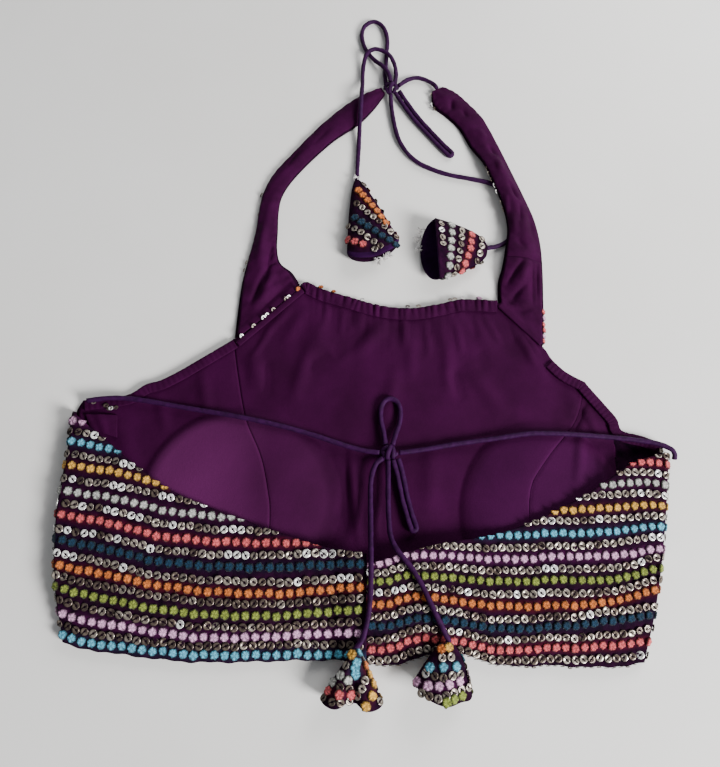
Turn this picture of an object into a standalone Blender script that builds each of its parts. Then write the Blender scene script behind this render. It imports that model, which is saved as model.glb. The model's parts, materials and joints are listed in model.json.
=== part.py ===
"""Halter-neck choli blouse laid flat with its back up: two embroidered back panels on the lined
front, two straps, and a drawstring tied in a bow at the neck and at the back with cone tassels.

Tables and sizes are in millimetres. X runs across the garment, Y from the hem to the neck and Z up
from the surface that it lies on.
"""
import math
from collections import namedtuple

import bmesh
import bpy
from mathutils import Vector

NAME = "choli_blouse"
MM = 0.001

# Walls and the gap kept at seams
CLOTH = 1.2
BACK_WALL = 1.8
SEAM = 0.3
TASSEL_WALL = 1.3

# Middle of the garment's box in the tables, which becomes the origin
MIDDLE = Vector((-1.4, -0.45, 0.0))

# Heights above the surface
LINING_Z = CLOTH + SEAM
FACING_SPARE = 0.5
BACK_HEM_Z = 5.0
BACK_REST_Z = 11.0
BACK_RISE = 34.0
SIDE_FOLD = 7.0
LAP_LIFT = 3.0
LAP_WIDTH = 16.0

# Bust cups under the lining
CUP_RISE = 5.0
CUP_RIM = 0.97
CUP_SPARE = 1.5
CUP_LIFT = 0.5

# Cords and their knots
CORD = 3.5
CORD_STEP = 9.5
KNOT = (6.2, 5.2, 3.8)
LOOP_SPREAD = 2.1

# Facings and trims
NECK_FACING = 9.0
NECK_PUCKERS = 26
PUCKER_RISE = 0.9
ARMHOLE_FACING = 7.0
FRONT_INSET = 2.6
HEM_INSET = 1.5
LINING_INSET = 1.2
STRAP_CROWN = 2.6
STRAP_PEEK = 0.05
STRAP_Z = 0.1
ROOT_TRIM = 4.0

# Back panel sections from the centre to the side: the hem point, the top point, the sideways
# bow of the section between them, and how far its top edge lifts
BackSection = namedtuple("BackSection", "hem_x hem_y top_x top_y bow lift")
BACK_LEFT = (
    (-2, -219, -2, -154, 0, 2.5),
    (-41, -219, -32, -149, 0, 2.5),
    (-78, -220, -63, -139, 0, 1.5),
    (-113, -220, -97, -127, -1, 0.5),
    (-145, -217, -131, -113, -3, 1.0),
    (-168, -214, -158, -95, -5, 1.5),
    (-184, -212, -181, -77, -7, 0.5),
    (-196, -207, -203, -60, -9, 0.0),
)
BACK_RIGHT = (
    (-9, -220, -9, -161, 0, 2.5),
    (12, -222, 5, -159, 0, 2.5),
    (38, -216, 24, -153, 0, 2.5),
    (60, -216, 49, -147, 0, 2.5),
    (84, -222, 85, -141, 0, 1.0),
    (113, -222, 119, -128, 1, 0.5),
    (141, -223, 150, -112, 2, 1.5),
    (163, -222, 178, -94, 2, 1.0),
    (174, -220, 206, -86, 3, 0.0),
)

# Waves of the back panels: where each crest runs, how wide it is and how high it stands
Fold = namedtuple("Fold", "from_x from_y to_x to_y half_width rise")
BACK_WAVES = (
    (44, -232, 40, -176, 17, 1.8),
    (-150, -215, -164, -110, 13, 1.1),
    (-60, -214, -84, -150, 15, 0.8),
    (120, -214, 138, -128, 15, 0.9),
)

# Outline of the front, which lies face down: x, y
ARMHOLE_LEFT = ((-200, -47), (-171, -43), (-158, -35), (-148, -32), (-135, -25), (-121, -16), (-98, -1))
ROOT_LEFT = ((-97, 0), (-51, 43))
NECKLINE = ((-50, 43), (-45, 45), (-33, 39), (-14, 33), (9, 26), (31, 24), (51, 27), (69, 31), (95, 30))
ROOT_RIGHT = ((96, 29), (127, -7))
ARMHOLE_CENTRE_RIGHT = ((128, -8), (133, -17), (142, -26), (154, -33))
ARMHOLE_SIDE_RIGHT = ((154, -33), (166, -49), (174, -60), (177, -69), (191, -73), (203, -78))
CORNER_RIGHT = (204.4, -79.2)
PRINCESS_LEFT = ((-98, -1), (-93, -30), (-86, -61), (-74, -88), (-68, -112), (-66, -135), (-68, -218))
PRINCESS_RIGHT = ((154, -33), (145, -62), (124, -87), (111, -105), (107, -120), (106, -150), (105, -220))
LINING_SIDE_RIGHT = ((174, -62), (171, -76), (171, -104), (174, -160), (166, -219))

# Bust cups: centre and half sizes
Cup = namedtuple("Cup", "x y half_x half_y")
CUPS = {"left": Cup(-88, -118, 68, 64), "right": Cup(117, -128, 55, 64)}

# Creases of the lining, largest first
LINING_FOLDS = (
    (14, 14, -10, -14, 5, 2.0),
    (-44, 26, -62, -6, 5, 1.2),
    (-8, 20, -20, -20, 4, 1.1),
    (32, 12, 30, -34, 4, 1.2),
    (52, 15, 60, -26, 4, 1.1),
    (74, 18, 90, -12, 5, 1.3),
    (104, 10, 128, -34, 5, 1.2),
    (-84, -12, -70, -44, 5, 1.0),
    (140, -36, 150, -62, 5, 1.1),
    (-16, -74, -9, -142, 6, 1.4),
    (44, -70, 40, -130, 6, 1.2),
    (-176, -62, -160, -96, 6, 1.2),
)

# Strap sections from the root to the tip: the outer and the inner edge, and how far the inner
# half lifts where it lies on a cord
StrapSection = namedtuple("StrapSection", "outer_x outer_y inner_x inner_y lift")
STRAP_LEFT = (
    (-97.2, 0.5, -51.2, 43.5, 0),
    (-96, 22, -57, 53, 0),
    (-94, 45, -66, 61, 0),
    (-90, 66, -69, 73, 0),
    (-86, 86, -69, 88, 0),
    (-84, 106, -69, 104, 0),
    (-81, 122, -67, 118, 0),
    (-73, 140, -60, 132, 0),
    (-56, 162, -46, 150, 0),
    (-38, 184, -27, 170, 0),
    (-19, 203, -8, 185, 0),
    (-3, 214.5, 5, 200, 0),
    (11.5, 221, 14.5, 215, 0),
)
STRAP_RIGHT = (
    (127.4, -6.6, 96.4, 29.4, 0),
    (129, 14, 97, 44, 0.5),
    (130, 34, 100, 55, 3.6),
    (131, 54, 103, 69, 4.6),
    (131, 76, 106, 88, 4.6),
    (128, 97, 104, 106, 4.6),
    (122, 116, 99, 124, 4.6),
    (113, 141, 91, 146, 4.2),
    (104, 166, 82, 163, 1.0),
    (94, 190, 74, 181, 0),
    (83, 205, 64, 193, 0),
    (73, 216, 54, 203, 0),
    (62, 222, 52.6, 216.5, 0),
)

# Cord routes: x, y and height of the middle of the cord
BACK_KNOT = (14, -86, 6.9)
NECK_KNOT = (19.4, 219, 4.1)
CORD_ROUTES = {
    "back_cord_left": (
        (-197, -49, 7.2), (-180, -47, 7.2), (-162, -48, 6.8), (-138, -52, 6.2), (-116, -56, 6.6),
        (-89, -61, 8.0), (-62, -67, 7.8), (-40, -73, 6.9), (-9, -83, 6.3), (7.3, -86, 6.8),
    ),
    "back_cord_right": (
        (209.6, -90, 4.4), (209.3, -86.5, 6.4), (206.6, -83.4, 7.4), (198, -79.6, 7.0), (185, -77.2, 6.6),
        (165, -75, 6.6), (150, -74, 7.4), (131, -73, 8.4), (110, -73, 8.2), (88, -76, 7.2),
        (59, -80, 6.4), (36, -84, 6.4), (20.7, -86, 6.8),
    ),
    "back_loop": (
        (11.6, -80.6, 7.2), (10.4, -72, 6.2), (8.6, -62, 5.6), (9, -53, 5.4), (13, -47.5, 5.4),
        (18.5, -48, 5.4), (22, -54, 5.4), (21.6, -64, 5.6), (18.6, -73, 6.2), (16.4, -80.6, 7.2),
    ),
    "back_tail_left": (
        (9.6, -90.2, 8.0), (5, -94, 8.6), (1.8, -103, 8.8), (1, -114, 9.0), (1, -130, 11.0),
        (1, -146, 16.0), (1, -157, 18.8), (0.8, -172, 17.6), (0, -186, 17.0), (-1.6, -196, 15.2),
        (-4.2, -205, 13.4), (-7.2, -210, 13.0), (-9.1, -212.7, 12.9),
    ),
    "back_tail_right": (
        (13.2, -91.7, 7.8), (13, -104, 8.4), (12.8, -118, 8.8), (13, -131, 10.6), (14, -143, 14.0),
        (18, -152, 16.6), (26, -162, 16.6), (33, -173, 15.8), (40, -188, 15.4), (45, -198, 13.8),
        (48, -204, 12.2), (49.3, -207.4, 11.7),
    ),
    "neck_loop": (
        (15.6, 223.7, 2.6), (14.8, 234, 2.0), (15.6, 244, 1.9), (16.4, 257, 1.9), (17, 271, 1.9),
        (14, 283, 1.9), (6.5, 289.5, 1.9), (-1.6, 285, 1.9), (-4.4, 275, 1.9), (-2.6, 264, 1.9),
        (1, 256, 1.9), (7, 247, 3.2), (13.6, 238, 6.4), (17.6, 231.5, 6.2), (18.9, 224.6, 5.6),
    ),
    "neck_tail_left": (
        (22.6, 224.1, 3.0), (23.8, 234, 2.6), (22.6, 243, 3.6), (18.6, 250.5, 5.8), (12, 255.4, 6.0),
        (5.6, 256.6, 6.0), (-0.4, 252, 5.6), (-3, 243, 3.2), (-3.8, 232, 2.4), (-4, 222, 4.4),
        (-4.6, 212, 7.6), (-5.2, 200, 8.6), (-5.8, 188, 7.6), (-6.4, 178, 4.2), (-7, 164, 2.2),
        (-7.8, 148, 2.2), (-8.4, 131.45, 3.2),
    ),
    "neck_tail_right": (
        (18.9, 213.4, 3.2), (19.6, 202, 2.4), (21.6, 186, 1.9), (25, 171, 1.9), (31, 159, 1.9),
        (39, 150, 1.9), (50, 143.4, 1.9), (64, 138, 1.9), (82, 134, 1.9), (97, 130, 1.9),
        (107, 123, 1.9), (112, 112, 1.9), (113, 100, 1.9), (111, 88, 1.9), (106, 79.4, 1.9),
        (99, 75, 2.6), (90.45, 72.45, 4.2),
    ),
    "neck_cord_right": (
        (57, 219.8, 3.2), (54.4, 224.2, 2.6), (48.6, 228.6, 2.1), (41, 231, 2.0), (33, 228.4, 2.4),
        (25.7, 220.9, 4.6),
    ),
}
FOLDED_LOOPS = {
    "back_folded_loop": (
        (18.4, -90.6, 7.2), (21.4, -102, 6.0), (24, -116, 5.4), (27, -128, 5.6), (29.4, -136, 6.0),
    ),
    "neck_folded_loop": (
        (24.6, 215.3, 3.6), (31.5, 203.6, 2.4), (40, 190, 1.9), (50, 176.6, 1.9), (59, 165, 1.9),
        (65, 158, 1.9),
    ),
}

# Tassel cones: apex, middle of the mouth between its corners, half sizes of the mouth, degrees that
# the mouth is turned, power of the flare, how far the upper and the lower cloth reach past the
# corners, how far the upper rim is notched at its crease, and the crease's depth and place
Tassel = namedtuple(
    "Tassel", "apex mouth half_width half_height turn flare reach lip notch crease crease_at"
)
TASSELS = {
    "neck_left": Tassel((-8.3, 131, 3.2), (3.8, 72.7, 6.8), 20.5, 6.6, -5, 0.8, 11.5, 9.0, 0.0, 0.2, 0.1),
    "neck_right": Tassel((90, 72.4, 4.2), (51.8, 68.9, 9.8), 25.3, 9.6, 3, 0.5, 1.0, 12.0, 0.0, 0.15, 0.2),
    "back_left": Tassel((-9.2, -213.6, 12.8), (-11, -241.8, 9.3), 19.1, 8.8, 0, 0.95, 6.5, 2, 1, 0.6, 0.0),
    "back_right": Tassel((49.4, -208.4, 11.6), (45.5, -233.8, 9.7), 18.2, 9.2, 6, 0.65, 10.5, 4, 0.3, 0.5, -0.7),
}
TASSEL_TIP = 2.4
TASSEL_SIDES = 20
TASSEL_RINGS = 7
CREASE_WIDTH = 0.34

# Side seam allowance that is turned in at the left corner: x, y of its four corners
SIDE_FLAP = ((-198, -58), (-176, -58.5), (-174, -75), (-192, -70))

COLOURS = {
    "embroidered_cloth": ((0.17, 0.045, 0.12, 1.0), 0.75),
    "lining_cloth": ((0.09, 0.025, 0.11, 1.0), 0.6),
    "cord_cloth": ((0.11, 0.03, 0.15, 1.0), 0.7),
    "padding": ((0.75, 0.72, 0.68, 1.0), 0.9),
}


def placed(point):
    """Point of the tables in the part's own frame, in metres."""
    return (Vector(point) - MIDDLE) * MM


def blend(value):
    """Smooth step from 0 to 1."""
    value = min(max(value, 0.0), 1.0)
    return value * value * (3.0 - 2.0 * value)


def smooth_row(table, place):
    """Row of a table at a place from 0 to 1, on a smooth curve through all its rows."""
    last = len(table) - 1
    place = min(max(place, 0.0), 1.0) * last
    k = min(int(place), last - 1)
    f = place - k
    rows = [table[min(max(k + step, 0), last)] for step in (-1, 0, 1, 2)]
    return [
        0.5 * (2 * b + (c - a) * f + (2 * a - 5 * b + 4 * c - d) * f ** 2 + (3 * b - a - 3 * c + d) * f ** 3)
        for a, b, c, d in zip(*rows)
    ]


def edge(*tables, steps=8):
    """Fine line through one or more outline tables, smooth within each and sharp between them."""
    line = []
    for table in tables:
        count = (len(table) - 1) * steps
        line += [tuple(smooth_row(table, i / count)) for i in range(count + 1)]
    return line


def along(line, share):
    """Point at a share of a line's length."""
    lengths = [0.0]
    for start, end in zip(line, line[1:]):
        lengths.append(lengths[-1] + math.dist(start, end))
    goal = min(max(share, 0.0), 1.0) * lengths[-1]
    for k in range(1, len(line)):
        if lengths[k] >= goal:
            span = lengths[k] - lengths[k - 1]
            f = (goal - lengths[k - 1]) / span if span > 0 else 0.0
            return tuple(a + (b - a) * f for a, b in zip(line[k - 1], line[k]))
    return line[-1]


def patch_point(bottom, top, left, right, u, v):
    """Plan point of a panel between its four edges."""
    b, t, le, ri = along(bottom, u), along(top, u), along(left, v), along(right, v)
    corners = (bottom[0], bottom[-1], top[0], top[-1])
    weights = ((1 - u) * (1 - v), u * (1 - v), (1 - u) * v, u * v)
    return tuple(
        (1 - v) * b[i] + v * t[i] + (1 - u) * le[i] + u * ri[i]
        - sum(w * corner[i] for w, corner in zip(weights, corners))
        for i in (0, 1)
    )


def ridge(x, y, fold):
    """Height that one crest adds at a plan point, fading at its ends."""
    fold = Fold(*fold)
    along_x, along_y = fold.to_x - fold.from_x, fold.to_y - fold.from_y
    length = math.hypot(along_x, along_y)
    run = ((x - fold.from_x) * along_x + (y - fold.from_y) * along_y) / length ** 2
    side = ((x - fold.from_x) * along_y - (y - fold.from_y) * along_x) / length
    if not 0.0 < run < 1.0:
        return 0.0
    return fold.rise * math.exp(-(side / fold.half_width) ** 2) * math.sin(math.pi * run) ** 0.8


def cup_rise(x, y, spare=0.0):
    """Height of the bust cups at a plan point."""
    rise = 0.0
    for cup in CUPS.values():
        r = math.hypot((x - cup.x) / (cup.half_x + spare), (y - cup.y) / (cup.half_y + spare))
        if r < 1.0:
            rise = max(rise, CUP_RISE * (1.0 - r ** 4) + (CUP_LIFT if spare else 0.0) * blend((1.0 - r) * 12))
    return rise


def lining_under(x, y):
    """Underside of the lining, over the cups and with its creases."""
    return LINING_Z + cup_rise(x, y, CUP_SPARE) + sum(ridge(x, y, fold) for fold in LINING_FOLDS)


def back_plan(sections, s, v):
    """Plan point of a back panel at s from its centre to its side and v from its hem to its top."""
    section = BackSection(*smooth_row(sections, s))
    x = section.hem_x + (section.top_x - section.hem_x) * v + section.bow * math.sin(math.pi * v)
    return x, section.hem_y + (section.top_y - section.hem_y) * v


def back_surface(sections, s, v, height_share, lap):
    """Point of the outer face of a back panel."""
    x, y = back_plan(sections, s, v)
    section = BackSection(*smooth_row(sections, s))
    z = BACK_HEM_Z + (BACK_REST_Z - BACK_HEM_Z) * blend((y - section.hem_y) / BACK_RISE)
    z += section.lift * blend((v - 0.5) / 0.5)
    z += sum(ridge(x, y, wave) for wave in BACK_WAVES) * blend((1.0 - s) / 0.08)
    if lap:
        z += LAP_LIFT * (1.0 - blend((abs(x - sections[0][2]) - LAP_WIDTH * 0.5) / LAP_WIDTH))
    return x, y, SEAM + (z - SEAM) * height_share


def front_side(sections, corner):
    """Side edge of the front, inside the fold of the back panel, from the hem to the armhole."""
    inward = FRONT_INSET if corner[0] < 0 else -FRONT_INSET
    line = [back_plan(sections, 1.0, i / 12) for i in range(13)]
    line = [(x + inward, y + (HEM_INSET if i == 0 else 0.0)) for i, (x, y) in enumerate(line)]
    return line + [corner]


def hem_height(x):
    """Y of the hem of the back panels at an x."""
    points = [(row[0], row[1]) for row in BACK_LEFT[::-1] + BACK_RIGHT[1:]]
    line = edge(points)
    for (x0, y0), (x1, y1) in zip(line, line[1:]):
        if x0 <= x <= x1:
            return y0 + (y1 - y0) * (x - x0) / max(x1 - x0, 1e-6)
    return line[0][1] if x < line[0][0] else line[-1][1]


def hem_line(x0, x1, inset):
    """Hem of the front between two places, just inside the hem of the back."""
    return [(x0 + (x1 - x0) * i / 16, hem_height(x0 + (x1 - x0) * i / 16) + inset) for i in range(17)]


def tassel_point(tassel, place, angle):
    """Point of a cone tassel's outer face at a share of its length and an angle round it."""
    apex = Vector(tassel.apex)
    axis = Vector(tassel.mouth) - apex
    ahead = Vector((axis.x, axis.y, 0.0)).normalized()
    turn = math.radians(tassel.turn) * place
    side = Vector((ahead.y, -ahead.x, 0.0)) * math.cos(turn) - ahead * math.sin(turn)
    across, up = math.cos(angle), math.sin(angle)
    near_crease = math.exp(-((across - tassel.crease_at) / CREASE_WIDTH) ** 2)
    wide = TASSEL_TIP + (tassel.half_width - TASSEL_TIP) * place ** tassel.flare
    high = TASSEL_TIP + (tassel.half_height - TASSEL_TIP) * place
    if up > 0:
        high *= 1.0 - tassel.crease * place * near_crease
        reach = tassel.reach * (1.0 - tassel.notch * near_crease)
    else:
        reach = tassel.lip
    at = apex + axis * place + ahead * (reach * abs(up) * place ** 2) + side * (wide * across)
    return at.x, at.y, at.z + high * up


def material(name):
    """Plain shader of one cloth."""
    existing = bpy.data.materials.get(name)
    if existing:
        return existing
    made = bpy.data.materials.new(name)
    made.use_nodes = True
    shader = made.node_tree.nodes["Principled BSDF"]
    colour, roughness = COLOURS[name]
    shader.inputs["Base Color"].default_value = colour
    shader.inputs["Roughness"].default_value = roughness
    return made


def add_object(name, mesh, cloth):
    """Object of a finished mesh in the garment's collection."""
    thing = bpy.data.objects.new(name, mesh)
    thing.data.materials.append(material(cloth))
    bpy.data.collections[NAME].objects.link(thing)
    return thing


def sheet(name, grid, wall, cloth, outward=1.0, closed=False):
    """Cloth wall on a grid of points in millimetres: outward 1 grows it up from the grid, -1 down."""
    mesh = bmesh.new()
    rows = [[mesh.verts.new(placed(point)) for point in row] for row in grid]
    columns = len(rows[0])
    for low, high in zip(rows, rows[1:]):
        for i in range(columns if closed else columns - 1):
            j = (i + 1) % columns
            mesh.faces.new((low[i], low[j], high[j], high[i]))
    data = bpy.data.meshes.new(name)
    mesh.to_mesh(data)
    mesh.free()
    data.shade_smooth()
    thing = add_object(name, data, cloth)
    shell = thing.modifiers.new("wall", "SOLIDIFY")
    shell.thickness = wall * MM
    shell.offset = outward
    shell.use_even_offset = True
    return thing


def panel(name, edges, columns, rows, wall, cloth, height):
    """Flat or draped cloth panel between four edges."""
    grid = []
    for r in range(rows + 1):
        row = []
        for c in range(columns + 1):
            x, y = patch_point(*edges, c / columns, r / rows)
            row.append((x, y, height(x, y)))
        grid.append(row)
    return sheet(name, grid, wall, cloth)


def shift(line, dx, dy=0.0):
    """Line moved sideways."""
    return [(x + dx, y + dy) for x, y in line]


def make_front():
    """Front cloth in three panels, and the lining over it."""
    seam_left = edge(PRINCESS_LEFT)[::-1]
    seam_right = edge(PRINCESS_RIGHT)[::-1]
    side_left = front_side(BACK_LEFT, ARMHOLE_LEFT[0])
    side_right = front_side(BACK_RIGHT, CORNER_RIGHT)
    top_centre = edge(ROOT_LEFT, NECKLINE, ROOT_RIGHT, ARMHOLE_CENTRE_RIGHT)
    lining_right = edge(LINING_SIDE_RIGHT)[::-1]
    gap = SEAM
    layers = (
        ("front", "embroidered_cloth", 0.0, lambda x, y: 0.0, side_right, (20, 6), (8, 6),
         ARMHOLE_SIDE_RIGHT),
        ("lining", "lining_cloth", LINING_INSET, lining_under, lining_right, (34, 13), (11, 13),
         ARMHOLE_SIDE_RIGHT[:2] + (LINING_SIDE_RIGHT[0],)),
    )
    for layer, cloth, inset, height, right_edge, centre_grid, side_grid, armhole in layers:
        top = shift(top_centre, 0.0, -inset)
        hem = hem_line(seam_left[0][0], seam_right[0][0], HEM_INSET + inset)
        left = [hem[0]] + [p for p in seam_left if hem[0][1] < p[1] < top[0][1]] + [top[0]]
        right = [hem[-1]] + [p for p in seam_right if hem[-1][1] < p[1] < top[-1][1]] + [top[-1]]
        edges = (shift(hem, 0), top, left, right)
        panel(layer + "_centre", edges, *centre_grid, CLOTH, cloth, height)

        outer = shift(side_left, inset)
        outer = [(outer[0][0], outer[0][1] + inset)] + outer[1:]
        seam = shift(left, -2 * gap)
        top = shift(edge(ARMHOLE_LEFT), 0.0, -inset)
        top = [outer[-1]] + top[1:-1] + [seam[-1]]
        hem = hem_line(outer[0][0], seam[0][0], HEM_INSET + inset)
        edges = ([outer[0]] + hem[1:-1] + [seam[0]], top, outer, seam)
        panel(layer + "_side_left", edges, *side_grid, CLOTH, cloth, height)

        seam = shift(right, 2 * gap)
        outer = shift(right_edge, -inset)
        top = shift(edge(armhole), 0.0, -inset)
        top = [seam[-1]] + top[1:-1] + [outer[-1]]
        hem = hem_line(seam[0][0], outer[0][0], HEM_INSET + inset)
        outer = [hem[-1]] + [p for p in outer if p[1] > hem[-1][1]]
        edges = ([seam[0]] + hem[1:], top, seam, outer)
        panel(layer + "_side_right", edges, *side_grid, CLOTH, cloth, height)


def make_cups():
    """Bust cups between the front and its lining: flat below, domed above."""
    sides, rings = 26, 5
    for side, cup in CUPS.items():
        mesh = bmesh.new()
        levels = []
        for ring in range(rings):
            r = CUP_RIM * (1.0 - (ring / rings) ** 1.6)
            level = []
            for i in range(sides):
                angle = 2 * math.pi * i / sides
                x, y = cup.x + cup.half_x * r * math.cos(angle), cup.y + cup.half_y * r * math.sin(angle)
                level.append(mesh.verts.new(placed((x, y, LINING_Z + cup_rise(x, y)))))
            levels.append(level)
        base = [mesh.verts.new(Vector((v.co.x, v.co.y, LINING_Z * MM))) for v in levels[0]]
        crown = mesh.verts.new(placed((cup.x, cup.y, LINING_Z + CUP_RISE)))
        for low, high in zip([base] + levels, levels):
            for i in range(sides):
                mesh.faces.new((low[i], low[(i + 1) % sides], high[(i + 1) % sides], high[i]))
        for i in range(sides):
            mesh.faces.new((levels[-1][i], levels[-1][(i + 1) % sides], crown))
        mesh.faces.new(base[::-1])
        data = bpy.data.meshes.new("cup_" + side)
        mesh.to_mesh(data)
        mesh.free()
        add_object("cup_" + side, data, "padding")


def make_back():
    """Two back panels: the left one laps over the right one at the centre."""
    main = 15
    for side, sections in (("left", BACK_LEFT), ("right", BACK_RIGHT)):
        share = SIDE_FOLD / abs(BackSection(*sections[-1]).top_x - BackSection(*sections[0]).top_x)
        columns = [((1.0 - share) * i / main, 1.0) for i in range(main + 1)]
        for degrees in (66, 44, 22, 0):
            angle = math.radians(degrees)
            columns.append((1.0 - share * (1.0 - math.cos(angle)), math.sin(angle)))
        if side == "left":
            columns = columns[::-1]
        rows = [i / 10 for i in range(11)]
        grid = [[back_surface(sections, s, v, high, side == "left") for s, high in columns] for v in rows]
        sheet("back_" + side, grid, BACK_WALL, "embroidered_cloth", outward=-1.0)


def strap_point(sections, place, across, height):
    """Point of a strap at a share of its length, across from its outer to its inner edge."""
    section = StrapSection(*smooth_row(sections, place))
    x = section.outer_x + (section.inner_x - section.outer_x) * across
    y = section.outer_y + (section.inner_y - section.outer_y) * across
    return x, y, height + section.lift * blend(across / 0.6)


def make_straps():
    """Straps of front cloth below and lining above, the lining a little narrower and crowned."""
    for side, sections in (("left", STRAP_LEFT), ("right", STRAP_RIGHT)):
        steps = 24
        order = (0, 1 / 3, 2 / 3, 1) if side == "left" else (1, 2 / 3, 1 / 3, 0)
        grid = [[strap_point(sections, i / steps, a, STRAP_Z) for a in order] for i in range(steps + 1)]
        sheet("strap_" + side + "_outer", grid, CLOTH, "embroidered_cloth")
        order = [STRAP_PEEK + (1 - 2 * STRAP_PEEK) * k / 5 for k in range(6)]
        if side == "right":
            order = order[::-1]
        grid = []
        for i in range(steps + 1):
            crown = STRAP_CROWN * blend(i / 3) * blend((steps - i) / 2)
            grid.append([
                strap_point(sections, i / steps, a, LINING_Z + crown * math.sin(math.pi * a) ** 0.8)
                for a in order
            ])
        sheet("strap_" + side + "_lining", grid, CLOTH, "lining_cloth")


def strip(name, line, width, cloth, columns, rows, height, inward=1.0):
    """Cloth strip along an outline, its width measured to the right of the line's direction."""
    grid = []
    for r in range(rows + 1):
        row = []
        for c in range(columns + 1):
            share = c / columns
            x, y = along(line, share)
            x0, y0 = along(line, share - 0.02)
            x1, y1 = along(line, share + 0.02)
            length = math.hypot(x1 - x0, y1 - y0)
            reach = inward * width * (1.0 - r / rows)
            px, py = x + (y1 - y0) / length * reach, y - (x1 - x0) / length * reach
            row.append((px, py, height(px, py, share, r / rows)))
        grid.append(row)
    return sheet(name, grid, CLOTH, cloth)


def make_facings():
    """Gathered neck facing, armhole facings, the turned seam at the left root and the side flap."""
    def on_lining(x, y, share, across):
        return lining_under(x, y) + CLOTH + SEAM + FACING_SPARE

    def puckered(x, y, share, across):
        wave = 0.5 - 0.5 * math.cos(2 * math.pi * NECK_PUCKERS * share)
        return on_lining(x, y, share, across) + PUCKER_RISE * wave * (0.35 + 0.65 * across)

    neck = shift(edge(NECKLINE), 0.0, -LINING_INSET)
    strip("neck_facing", neck, NECK_FACING, "lining_cloth", 2 * NECK_PUCKERS, 2, puckered)
    left = shift(edge(ARMHOLE_LEFT), 0.0, -LINING_INSET)
    strip("armhole_facing_left", left, ARMHOLE_FACING, "lining_cloth", 14, 1, on_lining)
    right = shift(edge(ARMHOLE_CENTRE_RIGHT[1:], ARMHOLE_SIDE_RIGHT[1:]), -3 * SEAM, -LINING_INSET)
    strip("armhole_facing_right", right, ARMHOLE_FACING, "lining_cloth", 18, 1, on_lining)
    root = [(x + 1.2, y - 4.2) for x, y in edge(ROOT_LEFT)]
    strip("root_trim_left", root, ROOT_TRIM, "embroidered_cloth", 8, 1, on_lining)

    grid = []
    for r in range(4):
        row = []
        for c in range(5):
            (ax, ay), (bx, by), (cx, cy), (dx, dy) = SIDE_FLAP
            u, v = c / 4, r / 3
            x = (dx * (1 - u) + cx * u) * (1 - v) + (ax * (1 - u) + bx * u) * v
            y = (dy * (1 - u) + cy * u) * (1 - v) + (ay * (1 - u) + by * u) * v
            row.append((x, y, lining_under(x, y) + CLOTH + SEAM + 1.2 * math.sin(math.pi * u)))
        grid.append(row)
    sheet("side_flap_left", grid, CLOTH, "lining_cloth")


def cord(name, route):
    """Cord tube of even steps along a smooth curve through its route."""
    line = edge(route, steps=12)
    length = sum(math.dist(a, b) for a, b in zip(line, line[1:]))
    count = max(2, round(length / CORD_STEP))
    curve = bpy.data.curves.new(name, "CURVE")
    curve.dimensions = "3D"
    spline = curve.splines.new("POLY")
    spline.points.add(count)
    for i, point in enumerate(spline.points):
        point.co = (*placed(along(line, i / count)), 1.0)
    curve.bevel_depth = CORD / 2 * MM
    curve.bevel_resolution = 2
    curve.use_fill_caps = True
    curve.materials.append(material("cord_cloth"))
    bpy.data.collections[NAME].objects.link(bpy.data.objects.new(name, curve))


def there_and_back(middle, spread):
    """Route of a collapsed loop: down one side of a middle line, round its end and back."""
    sides = [[], []]
    for k, point in enumerate(middle):
        before, after = middle[max(k - 1, 0)], middle[min(k + 1, len(middle) - 1)]
        length = math.hypot(after[0] - before[0], after[1] - before[1])
        nx, ny = -(after[1] - before[1]) / length, (after[0] - before[0]) / length
        for side, sign in zip(sides, (1, -1)):
            side.append((point[0] + sign * spread * nx, point[1] + sign * spread * ny, point[2]))
    before, last = middle[-2], middle[-1]
    length = math.dist(before[:2], last[:2])
    tip = []
    for degrees in (50, 90, 130):
        ahead, aside = math.sin(math.radians(degrees)), math.cos(math.radians(degrees))
        ux, uy = (last[0] - before[0]) / length, (last[1] - before[1]) / length
        x = last[0] + spread * (1.5 * ahead * ux - 1.25 * aside * uy)
        y = last[1] + spread * (1.5 * ahead * uy + 1.25 * aside * ux)
        tip.append((x, y, last[2]))
    return tuple(sides[0]) + tuple(tip) + tuple(sides[1][::-1])


def make_cords():
    """Neck and back cords, their bows and knots."""
    for name, route in CORD_ROUTES.items():
        cord(name, route)
    for name, middle in FOLDED_LOOPS.items():
        cord(name, there_and_back(middle, LOOP_SPREAD))
    for name, place in (("back_knot", BACK_KNOT), ("neck_knot", NECK_KNOT)):
        mesh = bmesh.new()
        bmesh.ops.create_uvsphere(mesh, u_segments=14, v_segments=8, radius=1.0)
        for vert in mesh.verts:
            vert.co = Vector(c * size for c, size in zip(vert.co, KNOT)) * MM
        data = bpy.data.meshes.new(name)
        mesh.to_mesh(data)
        mesh.free()
        data.shade_smooth()
        knot = add_object(name, data, "cord_cloth")
        knot.location = placed(place)


def make_tassels():
    """Cloth cones at the cord ends: thin walls, open at the mouth, slumped on what they lie on."""
    for place, tassel in TASSELS.items():
        turns = [2 * math.pi * i / TASSEL_SIDES for i in range(TASSEL_SIDES)]
        shares = [ring / TASSEL_RINGS for ring in range(TASSEL_RINGS + 1)]
        grid = [[tassel_point(tassel, share, turn) for turn in turns] for share in shares]
        sheet("latkan_" + place, grid, TASSEL_WALL, "embroidered_cloth", closed=True)


def main():
    for thing in list(bpy.data.objects):
        bpy.data.objects.remove(thing, do_unlink=True)
    collection = bpy.data.collections.new(NAME)
    bpy.context.scene.collection.children.link(collection)
    make_front()
    make_cups()
    make_back()
    make_straps()
    make_facings()
    make_cords()
    make_tassels()


main()
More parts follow.
